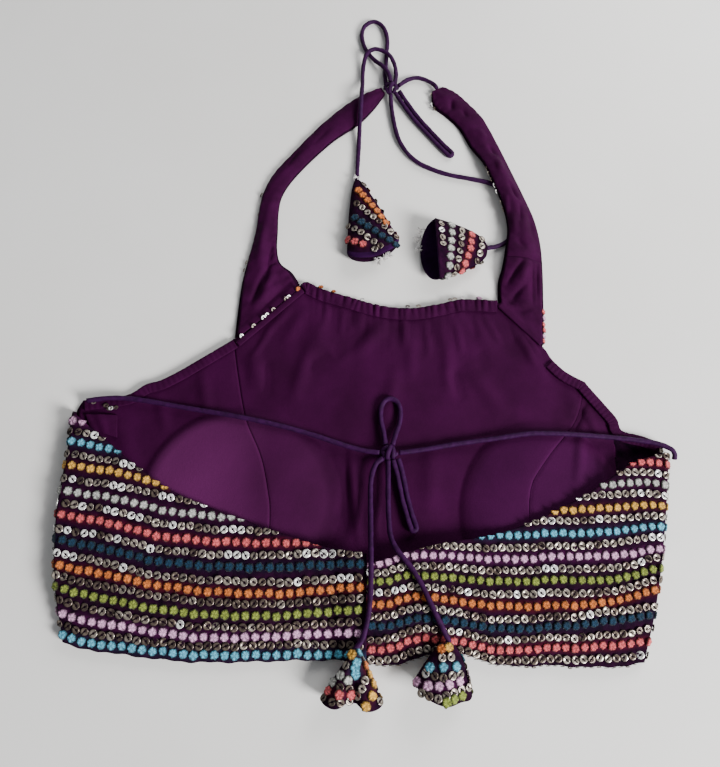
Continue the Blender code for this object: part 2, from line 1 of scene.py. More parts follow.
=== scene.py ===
"""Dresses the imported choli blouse: cloth, embroidery, cords, tassels, floor, light and camera.

Tables and sizes are in millimetres, as in the part's source. X runs across the garment, Y from
the hem to the neck and Z up from the surface that it lies on.
"""
import json
import math
import random
from collections import namedtuple

import bpy
import numpy as np
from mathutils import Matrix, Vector

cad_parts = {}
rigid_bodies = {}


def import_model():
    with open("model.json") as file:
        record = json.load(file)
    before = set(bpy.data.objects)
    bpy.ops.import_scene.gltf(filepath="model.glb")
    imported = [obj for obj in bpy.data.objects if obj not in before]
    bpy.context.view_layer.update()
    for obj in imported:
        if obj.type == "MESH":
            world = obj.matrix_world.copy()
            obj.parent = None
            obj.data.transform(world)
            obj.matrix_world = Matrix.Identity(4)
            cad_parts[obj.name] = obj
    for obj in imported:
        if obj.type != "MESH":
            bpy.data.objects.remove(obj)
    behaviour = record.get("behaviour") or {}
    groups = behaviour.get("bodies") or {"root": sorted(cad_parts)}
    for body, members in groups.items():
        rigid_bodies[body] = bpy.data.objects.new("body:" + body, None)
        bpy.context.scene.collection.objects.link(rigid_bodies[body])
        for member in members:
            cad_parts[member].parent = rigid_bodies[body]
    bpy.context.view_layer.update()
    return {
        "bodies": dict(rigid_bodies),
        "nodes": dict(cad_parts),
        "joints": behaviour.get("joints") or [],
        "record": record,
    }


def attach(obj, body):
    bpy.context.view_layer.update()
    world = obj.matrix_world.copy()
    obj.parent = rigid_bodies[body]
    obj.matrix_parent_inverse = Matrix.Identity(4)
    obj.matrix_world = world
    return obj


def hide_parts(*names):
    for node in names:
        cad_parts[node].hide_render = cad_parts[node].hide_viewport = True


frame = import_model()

MM = 0.001

# Walls and the gap kept at seams
CLOTH = 1.2
BACK_WALL = 1.8
SEAM = 0.3

# Middle of the garment's box in the tables, which becomes the origin
MIDDLE = Vector((-1.4, -0.45, 0.0))

# Heights above the surface: the lining, the spare over a facing, the back panels' hem and rest with
# the run between them, their side fold, and the lap at the centre back with its width
LINING_Z = CLOTH + SEAM
FACING_SPARE = 0.5
BACK_HEM_Z = 5.0
BACK_REST_Z = 11.0
BACK_RISE = 34.0
SIDE_FOLD = 7.0
LAP_LIFT = 3.0
LAP_WIDTH = 16.0

# Bust cups under the lining: rise, share of the outline that the shell fills, spare width and lift of
# the cloth over them, and how far they sink under it
CUP_RISE = 5.0
CUP_RIM = 0.97
CUP_SPARE = 1.5
CUP_LIFT = 0.5
CUP_SINK = 0.15

# Cords: diameter, step between fine points, half the distance of a collapsed loop's strands, and
# shares of the radius that the tube's wrinkles and its seam add
CORD = 3.5
CORD_GRAIN = 1.3
LOOP_SNUG = 1.85
WRINKLES = (0.035, 0.03, 0.03)
CORD_SEAM = 0.10

# Widths of facings and how far pieces stand in from the hem and sides; rise of the neck's puckers, crown
# and peek of a strap's lining, its height and the width of the left root's seam
NECK_FACING = 9.0
NECK_PUCKERS = 26
PUCKER_RISE = 0.9
ARMHOLE_FACING = 7.0
FRONT_INSET = 2.6
HEM_INSET = 1.5
LINING_INSET = 1.2
STRAP_CROWN = 2.6
STRAP_PEEK = 0.05
STRAP_Z = 0.1
ROOT_TRIM = 4.0

# Back panel sections from the centre to the side: the hem point, the top point, the sideways
# bow of the section between them, and how far its top edge lifts
BackSection = namedtuple("BackSection", "hem_x hem_y top_x top_y bow lift")
BACK_LEFT = (
    (-2, -219, -2, -154, 0, 2.5),
    (-41, -219, -32, -149, 0, 2.5),
    (-78, -220, -63, -139, 0, 1.5),
    (-113, -220, -97, -127, -1, 0.5),
    (-145, -217, -131, -113, -3, 1.0),
    (-168, -214, -158, -95, -5, 1.5),
    (-184, -212, -181, -77, -7, 0.5),
    (-196, -207, -203, -60, -9, 0.0),
)
BACK_RIGHT = (
    (-9, -220, -9, -161, 0, 2.5),
    (12, -222, 5, -159, 0, 2.5),
    (38, -216, 24, -153, 0, 2.5),
    (60, -216, 49, -147, 0, 2.5),
    (84, -222, 85, -141, 0, 1.0),
    (113, -222, 119, -128, 1, 0.5),
    (141, -223, 150, -112, 2, 1.5),
    (163, -222, 178, -94, 2, 1.0),
    (174, -220, 206, -86, 3, 0.0),
)

# Waves of the back panels: where each crest runs, how wide it is and how high it stands
Fold = namedtuple("Fold", "from_x from_y to_x to_y half_width rise")
BACK_WAVES = (
    (44, -232, 40, -176, 17, 1.8),
    (-150, -215, -164, -110, 13, 1.1),
    (-60, -214, -84, -150, 15, 0.8),
    (120, -214, 138, -128, 15, 0.9),
)

# Outline of the front, which lies face down: x, y
ARMHOLE_LEFT = ((-200, -47), (-171, -43), (-158, -35), (-148, -32), (-135, -25), (-121, -16), (-98, -1))
ROOT_LEFT = ((-97, 0), (-51, 43))
NECKLINE = ((-50, 43), (-45, 45), (-33, 39), (-14, 33), (9, 26), (31, 24), (51, 27), (69, 31), (95, 30))
ROOT_RIGHT = ((96, 29), (127, -7))
ARMHOLE_CENTRE_RIGHT = ((128, -8), (133, -17), (142, -26), (154, -33))
ARMHOLE_SIDE_RIGHT = ((154, -33), (166, -49), (174, -60), (177, -69), (191, -73), (203, -78))
CORNER_RIGHT = (204.4, -79.2)
PRINCESS_LEFT = ((-98, -1), (-93, -30), (-86, -61), (-74, -88), (-68, -112), (-66, -135), (-68, -218))
PRINCESS_RIGHT = ((154, -33), (145, -62), (124, -87), (111, -105), (107, -120), (106, -150), (105, -220))
LINING_SIDE_RIGHT = ((174, -62), (171, -76), (171, -104), (174, -160), (166, -219))

# Bust cups: centre and half sizes
Cup = namedtuple("Cup", "x y half_x half_y")
CUPS = {"left": Cup(-88, -118, 68, 64), "right": Cup(117, -128, 55, 64)}

# Creases of the lining, largest first
LINING_FOLDS = (
    (14, 14, -10, -14, 5, 2.0),
    (-44, 26, -62, -6, 5, 1.2),
    (-8, 20, -20, -20, 4, 1.1),
    (32, 12, 30, -34, 4, 1.2),
    (52, 15, 60, -26, 4, 1.1),
    (74, 18, 90, -12, 5, 1.3),
    (104, 10, 128, -34, 5, 1.2),
    (-84, -12, -70, -44, 5, 1.0),
    (140, -36, 150, -62, 5, 1.1),
    (-16, -74, -9, -142, 6, 1.4),
    (44, -70, 40, -130, 6, 1.2),
    (-176, -62, -160, -96, 6, 1.2),
)

# Strap sections from the root to the tip: the outer and the inner edge, and how far the inner
# half lifts where it lies on a cord
StrapSection = namedtuple("StrapSection", "outer_x outer_y inner_x inner_y lift")
STRAP_LEFT = (
    (-97.2, 0.5, -51.2, 43.5, 0),
    (-96, 22, -57, 53, 0),
    (-94, 45, -66, 61, 0),
    (-90, 66, -69, 73, 0),
    (-86, 86, -69, 88, 0),
    (-84, 106, -69, 104, 0),
    (-81, 122, -67, 118, 0),
    (-73, 140, -60, 132, 0),
    (-56, 162, -46, 150, 0),
    (-38, 184, -27, 170, 0),
    (-19, 203, -8, 185, 0),
    (-3, 214.5, 5, 200, 0),
    (11.5, 221, 14.5, 215, 0),
)
STRAP_RIGHT = (
    (127.4, -6.6, 96.4, 29.4, 0),
    (129, 14, 97, 44, 0.5),
    (130, 34, 100, 55, 3.6),
    (131, 54, 103, 69, 4.6),
    (131, 76, 106, 88, 4.6),
    (128, 97, 104, 106, 4.6),
    (122, 116, 99, 124, 4.6),
    (113, 141, 91, 146, 4.2),
    (104, 166, 82, 163, 1.0),
    (94, 190, 74, 181, 0),
    (83, 205, 64, 193, 0),
    (73, 216, 54, 203, 0),
    (62, 222, 52.6, 216.5, 0),
)

# Cord routes: x, y and height of the middle of the cord
BACK_KNOT = (14, -86, 6.9)
NECK_KNOT = (19.4, 219, 4.1)
CORD_ROUTES = {
    "back_cord_left": (
        (-197, -49, 7.2), (-180, -47, 7.2), (-162, -48, 6.8), (-138, -52, 6.2), (-116, -56, 6.6),
        (-89, -61, 8.0), (-62, -67, 7.8), (-40, -73, 6.9), (-9, -83, 6.3), (7.3, -86, 6.8),
    ),
    "back_cord_right": (
        (209.6, -90, 4.4), (209.3, -86.5, 6.4), (206.6, -83.4, 7.4), (198, -79.6, 7.0), (185, -77.2, 6.6),
        (165, -75, 6.6), (150, -74, 7.4), (131, -73, 8.4), (110, -73, 8.2), (88, -76, 7.2),
        (59, -80, 6.4), (36, -84, 6.4), (20.7, -86, 6.8),
    ),
    "back_loop": (
        (11.6, -80.6, 7.2), (10.4, -72, 6.2), (8.6, -62, 5.6), (9, -53, 5.4), (13, -47.5, 5.4),
        (18.5, -48, 5.4), (22, -54, 5.4), (21.6, -64, 5.6), (18.6, -73, 6.2), (16.4, -80.6, 7.2),
    ),
    "back_tail_left": (
        (9.6, -90.2, 8.0), (5, -94, 8.6), (1.8, -103, 8.8), (1, -114, 9.0), (1, -130, 11.0),
        (1, -146, 16.0), (1, -157, 18.8), (0.8, -172, 17.6), (0, -186, 17.0), (-1.6, -196, 15.2),
        (-4.2, -205, 13.4), (-7.2, -210, 13.0), (-9.1, -212.7, 12.9),
    ),
    "back_tail_right": (
        (13.2, -91.7, 7.8), (13, -104, 8.4), (12.8, -118, 8.8), (13, -131, 10.6), (14, -143, 14.0),
        (18, -152, 16.6), (26, -162, 16.6), (33, -173, 15.8), (40, -188, 15.4), (45, -198, 13.8),
        (48, -204, 12.2), (49.3, -207.4, 11.7),
    ),
    "neck_loop": (
        (15.6, 223.7, 2.6), (14.8, 234, 2.0), (15.6, 244, 1.9), (16.4, 257, 1.9), (17, 271, 1.9),
        (14, 283, 1.9), (6.5, 289.5, 1.9), (-1.6, 285, 1.9), (-4.4, 275, 1.9), (-2.6, 264, 1.9),
        (1, 256, 1.9), (7, 247, 3.2), (13.6, 238, 6.4), (17.6, 231.5, 6.2), (18.9, 224.6, 5.6),
    ),
    "neck_tail_left": (
        (22.6, 224.1, 3.0), (23.8, 234, 2.6), (22.6, 243, 3.6), (18.6, 250.5, 5.8), (12, 255.4, 6.0),
        (5.6, 256.6, 6.0), (-0.4, 252, 5.6), (-3, 243, 3.2), (-3.8, 232, 2.4), (-4, 222, 4.4),
        (-4.6, 212, 7.6), (-5.2, 200, 8.6), (-5.8, 188, 7.6), (-6.4, 178, 4.2), (-7, 164, 2.2),
        (-7.8, 148, 2.2), (-8.4, 131.45, 3.2),
    ),
    "neck_tail_right": (
        (18.9, 213.4, 3.2), (19.6, 202, 2.4), (21.6, 186, 1.9), (25, 171, 1.9), (31, 159, 1.9),
        (39, 150, 1.9), (50, 143.4, 1.9), (64, 138, 1.9), (82, 134, 1.9), (97, 130, 1.9),
        (107, 123, 1.9), (112, 112, 1.9), (113, 100, 1.9), (111, 88, 1.9), (106, 79.4, 1.9),
        (99, 75, 2.6), (90.45, 72.45, 4.2),
    ),
    "neck_cord_right": (
        (57, 219.8, 3.2), (54.4, 224.2, 2.6), (48.6, 228.6, 2.1), (41, 231, 2.0), (33, 228.4, 2.4),
        (25.7, 220.9, 4.6),
    ),
}
FOLDED_LOOPS = {
    "back_folded_loop": (
        (18.4, -90.6, 7.2), (21.4, -102, 6.0), (24, -116, 5.4), (27, -128, 5.6), (29.4, -136, 6.0),
    ),
    "neck_folded_loop": (
        (24.6, 215.3, 3.6), (31.5, 203.6, 2.4), (40, 190, 1.9), (50, 176.6, 1.9), (59, 165, 1.9),
        (65, 158, 1.9),
    ),
}

# Tassel cones: apex, middle of the mouth between its corners, half sizes of the mouth, degrees that
# the mouth is turned, power of the flare, how far the upper and the lower cloth reach past the
# corners, how far the upper rim is notched at its crease, and the crease's depth and place
Tassel = namedtuple(
    "Tassel", "apex mouth half_width half_height turn flare reach lip notch crease crease_at"
)
TASSELS = {
    "neck_left": Tassel((-8.3, 131, 3.2), (3.8, 72.7, 6.8), 20.5, 6.6, -5, 0.8, 11.5, 9, 0, 0.2, 0.1),
    "neck_right": Tassel((90, 72.4, 4.2), (51.8, 68.9, 9.8), 25.3, 9.6, 3, 0.5, 1, 12, 0, 0.15, 0.2),
    "back_left": Tassel((-9.2, -213.6, 12.8), (-11, -241.8, 9.3), 19.1, 8.8, 0, 0.95, 6.5, 2, 1, 0.6, 0),
    "back_right": Tassel(
        (49.4, -208.4, 11.6), (45.5, -233.8, 9.7), 18.2, 9.2, 6, 0.65, 10.5, 4, 0.3, 0.5, -0.7
    ),
}
TASSEL_TIP = 2.4
CREASE_WIDTH = 0.34

# Side seam allowance that is turned in at the left corner: x, y of its four corners
SIDE_FLAP = ((-198, -58), (-176, -58.5), (-174, -75), (-192, -70))


def blend(value):
    """Smooth step from 0 to 1."""
    value = min(max(value, 0.0), 1.0)
    return value * value * (3.0 - 2.0 * value)


def smooth_row(table, place):
    """Row of a table at a place from 0 to 1, on a smooth curve through all its rows."""
    last = len(table) - 1
    place = min(max(place, 0.0), 1.0) * last
    k = min(int(place), last - 1)
    f = place - k
    rows = [table[min(max(k + step, 0), last)] for step in (-1, 0, 1, 2)]
    return [
        0.5 * (2 * b + (c - a) * f + (2 * a - 5 * b + 4 * c - d) * f ** 2 + (3 * b - a - 3 * c + d) * f ** 3)
        for a, b, c, d in zip(*rows)
    ]


def edge(*tables, steps=8):
    """Fine line through one or more outline tables, smooth within each and sharp between them."""
    line = []
    for table in tables:
        count = (len(table) - 1) * steps
        line += [tuple(smooth_row(table, i / count)) for i in range(count + 1)]
    return line


def run_of(line):
    """Length along a line up to each of its points."""
    return np.concatenate([[0.0], np.cumsum(np.linalg.norm(np.diff(line, axis=0), axis=1))])


def points_at(line, run, goals):
    """Rows of a line at the given lengths along it."""
    return np.stack([np.interp(goals, run, column) for column in line.T], axis=-1)


def ridge(x, y, fold):
    """Height that one crest adds at a plan point, fading at its ends."""
    fold = Fold(*fold)
    along_x, along_y = fold.to_x - fold.from_x, fold.to_y - fold.from_y
    length = math.hypot(along_x, along_y)
    run = ((x - fold.from_x) * along_x + (y - fold.from_y) * along_y) / length ** 2
    side = ((x - fold.from_x) * along_y - (y - fold.from_y) * along_x) / length
    if not 0.0 < run < 1.0:
        return 0.0
    return fold.rise * math.exp(-(side / fold.half_width) ** 2) * math.sin(math.pi * run) ** 0.8


def cup_rise(x, y, spare=0.0):
    """Height of the bust cups at a plan point."""
    rise = 0.0
    for cup in CUPS.values():
        r = math.hypot((x - cup.x) / (cup.half_x + spare), (y - cup.y) / (cup.half_y + spare))
        if r < 1.0:
            rise = max(rise, CUP_RISE * (1.0 - r ** 4) + (CUP_LIFT if spare else 0.0) * blend((1.0 - r) * 12))
    return rise


def lining_under(x, y):
    """Underside of the lining, over the cups and with its creases."""
    return LINING_Z + cup_rise(x, y, CUP_SPARE) + sum(ridge(x, y, fold) for fold in LINING_FOLDS)


def back_plan(sections, s, v):
    """Plan point of a back panel at s from its centre to its side and v from its hem to its top."""
    section = BackSection(*smooth_row(sections, s))
    x = section.hem_x + (section.top_x - section.hem_x) * v + section.bow * math.sin(math.pi * v)
    return x, section.hem_y + (section.top_y - section.hem_y) * v


def back_surface(sections, s, v, height_share, lap):
    """Point of the outer face of a back panel."""
    x, y = back_plan(sections, s, v)
    section = BackSection(*smooth_row(sections, s))
    z = BACK_HEM_Z + (BACK_REST_Z - BACK_HEM_Z) * blend((y - section.hem_y) / BACK_RISE)
    z += section.lift * blend((v - 0.5) / 0.5)
    z += sum(ridge(x, y, wave) for wave in BACK_WAVES) * blend((1.0 - s) / 0.08)
    if lap:
        z += LAP_LIFT * (1.0 - blend((abs(x - sections[0][2]) - LAP_WIDTH * 0.5) / LAP_WIDTH))
    return x, y, SEAM + (z - SEAM) * height_share


def front_side(sections, corner):
    """Side edge of the front, inside the fold of the back panel, from the hem to the armhole."""
    inward = FRONT_INSET if corner[0] < 0 else -FRONT_INSET
    line = [back_plan(sections, 1.0, i / 12) for i in range(13)]
    line = [(x + inward, y + (HEM_INSET if i == 0 else 0.0)) for i, (x, y) in enumerate(line)]
    return line + [corner]


def hem_line(x0, x1, inset):
    """Hem of the front between two places, just inside the hem of the back."""
    line = np.array(edge([row[:2] for row in BACK_LEFT[::-1] + BACK_RIGHT[1:]]))
    places = [x0 + (x1 - x0) * i / 16 for i in range(17)]
    return [(x, float(np.interp(x, line[:, 0], line[:, 1])) + inset) for x in places]


def shift(line, dx, dy=0.0):
    """Line moved sideways."""
    return [(x + dx, y + dy) for x, y in line]


def strap_point(sections, place, across, height):
    """Point of a strap at a share of its length, across from its outer to its inner edge."""
    section = StrapSection(*smooth_row(sections, place))
    x = section.outer_x + (section.inner_x - section.outer_x) * across
    y = section.outer_y + (section.inner_y - section.outer_y) * across
    return x, y, height + section.lift * blend(across / 0.6)


def there_and_back(middle, spread):
    """Route of a collapsed loop: down one side of a middle line, round its end and back."""
    sides = [[], []]
    for k, point in enumerate(middle):
        before, after = middle[max(k - 1, 0)], middle[min(k + 1, len(middle) - 1)]
        length = math.hypot(after[0] - before[0], after[1] - before[1])
        nx, ny = -(after[1] - before[1]) / length, (after[0] - before[0]) / length
        for side, sign in zip(sides, (1, -1)):
            side.append((point[0] + sign * spread * nx, point[1] + sign * spread * ny, point[2]))
    before, last = middle[-2], middle[-1]
    length = math.dist(before[:2], last[:2])
    tip = []
    for degrees in (50, 90, 130):
        ahead, aside = math.sin(math.radians(degrees)), math.cos(math.radians(degrees))
        ux, uy = (last[0] - before[0]) / length, (last[1] - before[1]) / length
        x = last[0] + spread * (1.5 * ahead * ux - 1.25 * aside * uy)
        y = last[1] + spread * (1.5 * ahead * uy + 1.25 * aside * ux)
        tip.append((x, y, last[2]))
    return tuple(sides[0]) + tuple(tip) + tuple(sides[1][::-1])


def tassel_point(tassel, place, angle):
    """Point of a cone tassel's outer face at a share of its length and an angle round it."""
    apex = Vector(tassel.apex)
    axis = Vector(tassel.mouth) - apex
    ahead = Vector((axis.x, axis.y, 0.0)).normalized()
    turn = math.radians(tassel.turn) * place
    side = Vector((ahead.y, -ahead.x, 0.0)) * math.cos(turn) - ahead * math.sin(turn)
    across, up = math.cos(angle), math.sin(angle)
    near_crease = math.exp(-((across - tassel.crease_at) / CREASE_WIDTH) ** 2)
    wide = TASSEL_TIP + (tassel.half_width - TASSEL_TIP) * place ** tassel.flare
    high = TASSEL_TIP + (tassel.half_height - TASSEL_TIP) * place
    if up > 0:
        high *= 1.0 - tassel.crease * place * near_crease
        reach = tassel.reach * (1.0 - tassel.notch * near_crease)
    else:
        reach = tassel.lip
    at = apex + axis * place + ahead * (reach * abs(up) * place ** 2) + side * (wide * across)
    return at.x, at.y, at.z + high * up


# Camera of the photograph
PHOTO_WIDTH, PHOTO_HEIGHT = 720, 767
CAMERA_HEIGHT = 0.490
CAMERA_DOWN = 72.0
LOOK_AT = Vector((-0.0046, -0.03355, 0.0))

# Embroidery: how far it stays above the floor, pitch and half size of thread flowers and sequins,
# and the strands round a flower
FLOOR_SPARE = 0.05
FLOWER_PITCH = {"left": 6.6, "right": 5.95}
FLOWER = 3.15
SEQUIN_PITCH = {"left": 5.7, "right": 5.25}
SEQUIN = 2.7
STRANDS = 26.0
# Painted shade of a flower's thread from its rim to its middle, darkest at the rim where its dome meets the
# cloth and a little darker in its dimpled middle, and the tone of its dark and light strands: place, factor
FLOWER_PAINTED_SHADE = ((0.0, 0.06), (0.16, 0.42), (0.4, 1.0), (0.75, 1.12), (1.0, 0.7))
STRAND_TONES = ((0.38, 0.3), (0.60, 1.25))

# Thread colours, linear
THREADS = {
    "sky": (0.11, 0.42, 0.58),
    "pink": (0.68, 0.36, 0.58),
    "olive": (0.22, 0.27, 0.045),
    "orange": (0.60, 0.16, 0.035),
    "navy": (0.005, 0.028, 0.058),
    "coral": (0.64, 0.10, 0.11),
    "silver": (0.46, 0.46, 0.43),
    "mustard": (0.72, 0.38, 0.06),
}
# Rows of the back panels from the hem up: thread or sequins, and the distance from the hem along
# the cloth at even stations from the centre to the side; None where the top edge has cut it off
ROWS_LEFT = (
    ("sky", 2.9, 3.9, 4.6, 4.8, 4.5, 5),
    ("sequin", 9, 10.5, 9.8, 10.2, 10.8, 12),
    ("pink", 17.2, 15.8, 15.3, 17, 17.9, 19.3),
    ("sequin", 24.6, 21.3, 22.1, 23.5, 26, 28),
    ("olive", 31.9, 28.4, 29.5, 31, 34, 35.5),
    ("sequin", 38.6, 35.6, 37, 38.8, 41.2, 42.8),
    ("orange", 45.6, 42, 43.6, 45.3, 48.8, 49.4),
    ("sequin", 51.4, 49, 50.8, 51.2, 56.2, 57.3),
    ("navy", 59.6, 58.7, 59.6, 59.8, 64.6, 65.8),
    ("sequin", 65.3, 66.8, 67.1, 67.3, 72.4, 72.4),
    ("coral", 71, 74.2, 75.5, 75.6, 81.2, 81.9),
    ("sequin", 79, 82, 83.5, 83.8, 89.3, 89.4),
    ("silver", 84, 88.4, 91.8, 92.4, 97.4, 97.6),
    ("sequin", 92, 96, 98.4, 101.6, 105.5, 105.7),
    ("mustard", 99, 103, 106, 108.4, 114.6, 114.9),
    ("sequin", 107, 111, 114, 115.6, 121.3, 122.4),
    ("sky", 115, 119, 122, 124, 129, 131.3),
    ("sequin", 123, 127, 130, 132, 136.6, 138),
    ("pink", 131, 135, 138, 140, 144.2, 145.6),
)
ROWS_RIGHT = (
    ("sequin", 2.7, 2.8, 4.7, 3, 2.7, 2.8, 3.8, 4.1, 5.2, 5.4, 4.6),
    ("coral", 7.6, 9.4, 11.7, 9.7, 7.8, 8.8, 10.4, 11.4, 13, 13.8, 13.1),
    ("sequin", 14.4, 15.4, 17.6, 16, 13.6, 14.8, 17, 17.6, 19.6, 20.6, 22),
    ("navy", 23.6, 24.1, 24.1, 22.8, 20.2, 22.4, 23.4, 25.2, 28.4, 29.9, 30.2),
    ("sequin", 29.5, 29.8, 30.5, 29, 25.9, 27.6, 29.4, 30.7, 34.2, 35, 35.3),
    ("orange", 37, 37.3, 37.4, 36.3, 33.1, 36.2, 36.5, 37.6, 39.9, 43.1, 46.2),
    ("sequin", 44.6, 44.8, 43.9, 42.3, 40.2, 42.8, 44.5, 44.8, 46.1, 49.4, 52.8),
    ("olive", 51.6, 51.5, 51.1, 49.8, 47.8, 51.2, 52.2, 53.3, 53.4, 56.3, 59.8),
    ("sequin", 56.4, 57, 56.8, 56, 54.6, 57.6, 59.1, 60.1, 60.9, 63, 67.3),
    ("pink", 62, 62.4, 62.7, 62.8, 61.9, 65, 66.4, 68.1, 68.8, 70.1, 72.4),
    ("sequin", 70, 70, 70, 69, 68, 71.8, 73.6, 74.3, 76.3, 78.7, 80),
    ("sky", 78, 78, 78, 77, 76.3, 79.9, 81.6, 82.7, 84, 86, 86.9),
    ("sequin", 86, 86, 86, 86, 85.5, 88, 89.7, 90.6, 92.2, 93.6, 93.4),
    ("mustard", 94, 94, 94, 93, 92.6, 93.6, 95, 98, 99.5, 100.9, 100.5),
    ("sequin", 102, 102, 102, 101, 101, 102.5, 104, 105.9, 108, 109.2, 107.4),
    ("silver", 110, 110, 110, 109, 109, 110.5, 112, 113.2, 114.6, 116.6, 115),
    ("sequin", 118, 118, 118, 117, 117, 118.5, 120, 122, 123.6, 123.4, 121.6),
    ("coral", 126, 126, 126, 125, 125, 126.5, 128, 128.6, 129.6, 130, 129.2),
    ("sequin", 134, 134, 134, 133, 133, 134.5, 135, 135.2, 136, 136.2, 135),
)
# Share of sequins painted bright and of those painted middling for their glint, in the lower and the upper
# rows of each side, the number of the first upper row, and the size of the stitches of each side
SHINE = {"left": ((0.06, 0.30), (0.34, 0.40)), "right": ((0.05, 0.42), (0.20, 0.46))}
UPPER_ROWS = 6
STITCH_SIZE = {"left": 1.0, "right": 0.93}

# Grounds of the embroidered cloth and of the lining, dark and light, linear
EMBROIDERED = ((0.004, 0.0004, 0.005), (0.020, 0.001, 0.017))
LINING = ((0.023, 0.0004, 0.018), (0.037, 0.0010, 0.030))

# Finishes: dark and light colour, linear, roughness, scale of their clouds, layers of relief (kind,
# scale and strength) and other sockets of the shader
WEAVE = (("X", 520.0, 0.25), ("Y", 520.0, 0.25), ("noise", 900.0, 0.3))
ROUGH_WEAVE = (("noise", 1400.0, 0.6), ("X", 420.0, 0.3))
MATT = (("Specular IOR Level", 0.05),)
SILVERED = (("Metallic", 0.6),)
Finish = namedtuple("Finish", "dark light rough scale bump sockets", defaults=((), ()))
FINISHES = {
    "lining": (*LINING, 0.7, 22.0, WEAVE, MATT),
    "facing": (*LINING, 0.7, 60.0, WEAVE, MATT),
    "inside": ((0.012, 0.001, 0.018), (0.034, 0.003, 0.05), 0.75, 60.0, WEAVE, MATT),
    "base": (*EMBROIDERED, 0.8, 170.0, ROUGH_WEAVE, MATT),
    "rows": (*EMBROIDERED, 0.8, 170.0, ROUGH_WEAVE, MATT),
    "cord": ((0.016, 0.0008, 0.021), (0.031, 0.0018, 0.040), 0.65, 260.0, (("noise", 700.0, 0.5),),
             (("Specular IOR Level", 0.12),)),
    "cover": (*LINING, 0.75, 60.0, WEAVE, MATT),
    # One kind of sequin painted in three tones for its glint: bright with a painted highlight, middling, and
    # dim where no glint falls
    "sequin_bright": ((0.80, 0.78, 0.74), (1.0, 0.99, 0.97), 0.25, 130.0, (), (("Metallic", 0.35),)),
    "sequin_middle": ((0.12, 0.09, 0.075), (0.50, 0.44, 0.37), 0.30, 190.0, (), SILVERED),
    "sequin_dim": ((0.035, 0.020, 0.020), (0.20, 0.155, 0.12), 0.33, 230.0, (), SILVERED),
    "tie": ((0.002, 0.0005, 0.002), (0.008, 0.001, 0.007), 0.8, 300.0, (), MATT),
    "tuft": ((0.66, 0.62, 0.60), (0.92, 0.90, 0.88), 0.8, 400.0),
}

# What each thread's colour does to the cloth beside its row, and the painted light on the lining over
# each cup, where the slopes of its dome catch the light: linear colour and weight
THREAD_TINT_AND_CUP_LIGHT = {
    "sky": (0.008, 0.012, 0.030, 0.7),
    "pink": (0.045, 0.003, 0.036, 0.7),
    "olive": (0.014, 0.006, 0.006, 0.6),
    "orange": (0.060, 0.004, 0.003, 0.8),
    "navy": (0.004, 0.004, 0.014, 0.8),
    "coral": (0.060, 0.002, 0.010, 0.85),
    "silver": (0.030, 0.003, 0.020, 0.5),
    "mustard": (0.040, 0.006, 0.006, 0.6),
    # Painted light on the lining over the left and the right bust cup
    "left": (0.082, 0.012, 0.066, 0.62),
    "right": (0.052, 0.005, 0.050, 0.5),
}

rng = random.Random(11)


def node(tree, kind, **settings):
    """Shader node with its settings: sockets by name, other properties by attribute."""
    made = tree.nodes.new(kind)
    for name, value in settings.items():
        if name in made.inputs:
            made.inputs[name].default_value = value
        else:
            setattr(made, name, value)
    return made


def material(name, dark, light, rough, scale, bump=(), sockets=()):
    """Procedural shader: two colours mixed by soft noise, and layers of fine relief."""
    made = bpy.data.materials.new(name)
    made.use_nodes = True
    tree = made.node_tree
    shader = tree.nodes["Principled BSDF"]
    shader.inputs["Roughness"].default_value = rough
    for socket, value in sockets:
        shader.inputs[socket].default_value = value
    place = node(tree, "ShaderNodeTexCoord")
    cloud = node(tree, "ShaderNodeTexNoise", Scale=scale, Detail=4.0, Roughness=0.6)
    tree.links.new(place.outputs["Object"], cloud.inputs["Vector"])
    ramp = node(tree, "ShaderNodeValToRGB")
    ramp.color_ramp.elements[0].position = 0.32
    ramp.color_ramp.elements[1].position = 0.68
    ramp.color_ramp.elements[0].color = (*dark, 1.0)
    ramp.color_ramp.elements[1].color = (*light, 1.0)
    tree.links.new(cloud.outputs["Fac"], ramp.inputs["Fac"])
    tree.links.new(ramp.outputs["Color"], shader.inputs["Base Color"])
    last = None
    for kind, size, strength in bump:
        if kind == "noise":
            relief = node(tree, "ShaderNodeTexNoise", Scale=size, Detail=3.0)
        else:
            relief = node(tree, "ShaderNodeTexWave", Scale=size, Distortion=1.5, bands_direction=kind)
            relief.inputs["Detail Scale"].default_value = 2.0
        tree.links.new(place.outputs["Object"], relief.inputs["Vector"])
        bumped = node(tree, "ShaderNodeBump", Strength=strength, Distance=0.0004)
        tree.links.new(relief.outputs["Fac"], bumped.inputs["Height"])
        if last:
            tree.links.new(last.outputs["Normal"], bumped.inputs["Normal"])
        tree.links.new(bumped.outputs["Normal"], shader.inputs["Normal"])
        last = bumped
    return made


def stitched(made):
    """Mixes the mesh's own colour layer into a material: thread tints, and on the lining the painted light
    over the cups.
    """
    tree = made.node_tree
    shader = tree.nodes["Principled BSDF"]
    layer = node(tree, "ShaderNodeAttribute", attribute_name="tint_and_cup_light")
    mix = node(tree, "ShaderNodeMixRGB", blend_type="MIX")
    tree.links.new(shader.inputs["Base Color"].links[0].from_socket, mix.inputs["Color1"])
    tree.links.new(layer.outputs["Color"], mix.inputs["Color2"])
    tree.links.new(layer.outputs["Alpha"], mix.inputs["Fac"])
    tree.links.new(mix.outputs["Color"], shader.inputs["Base Color"])
    return made


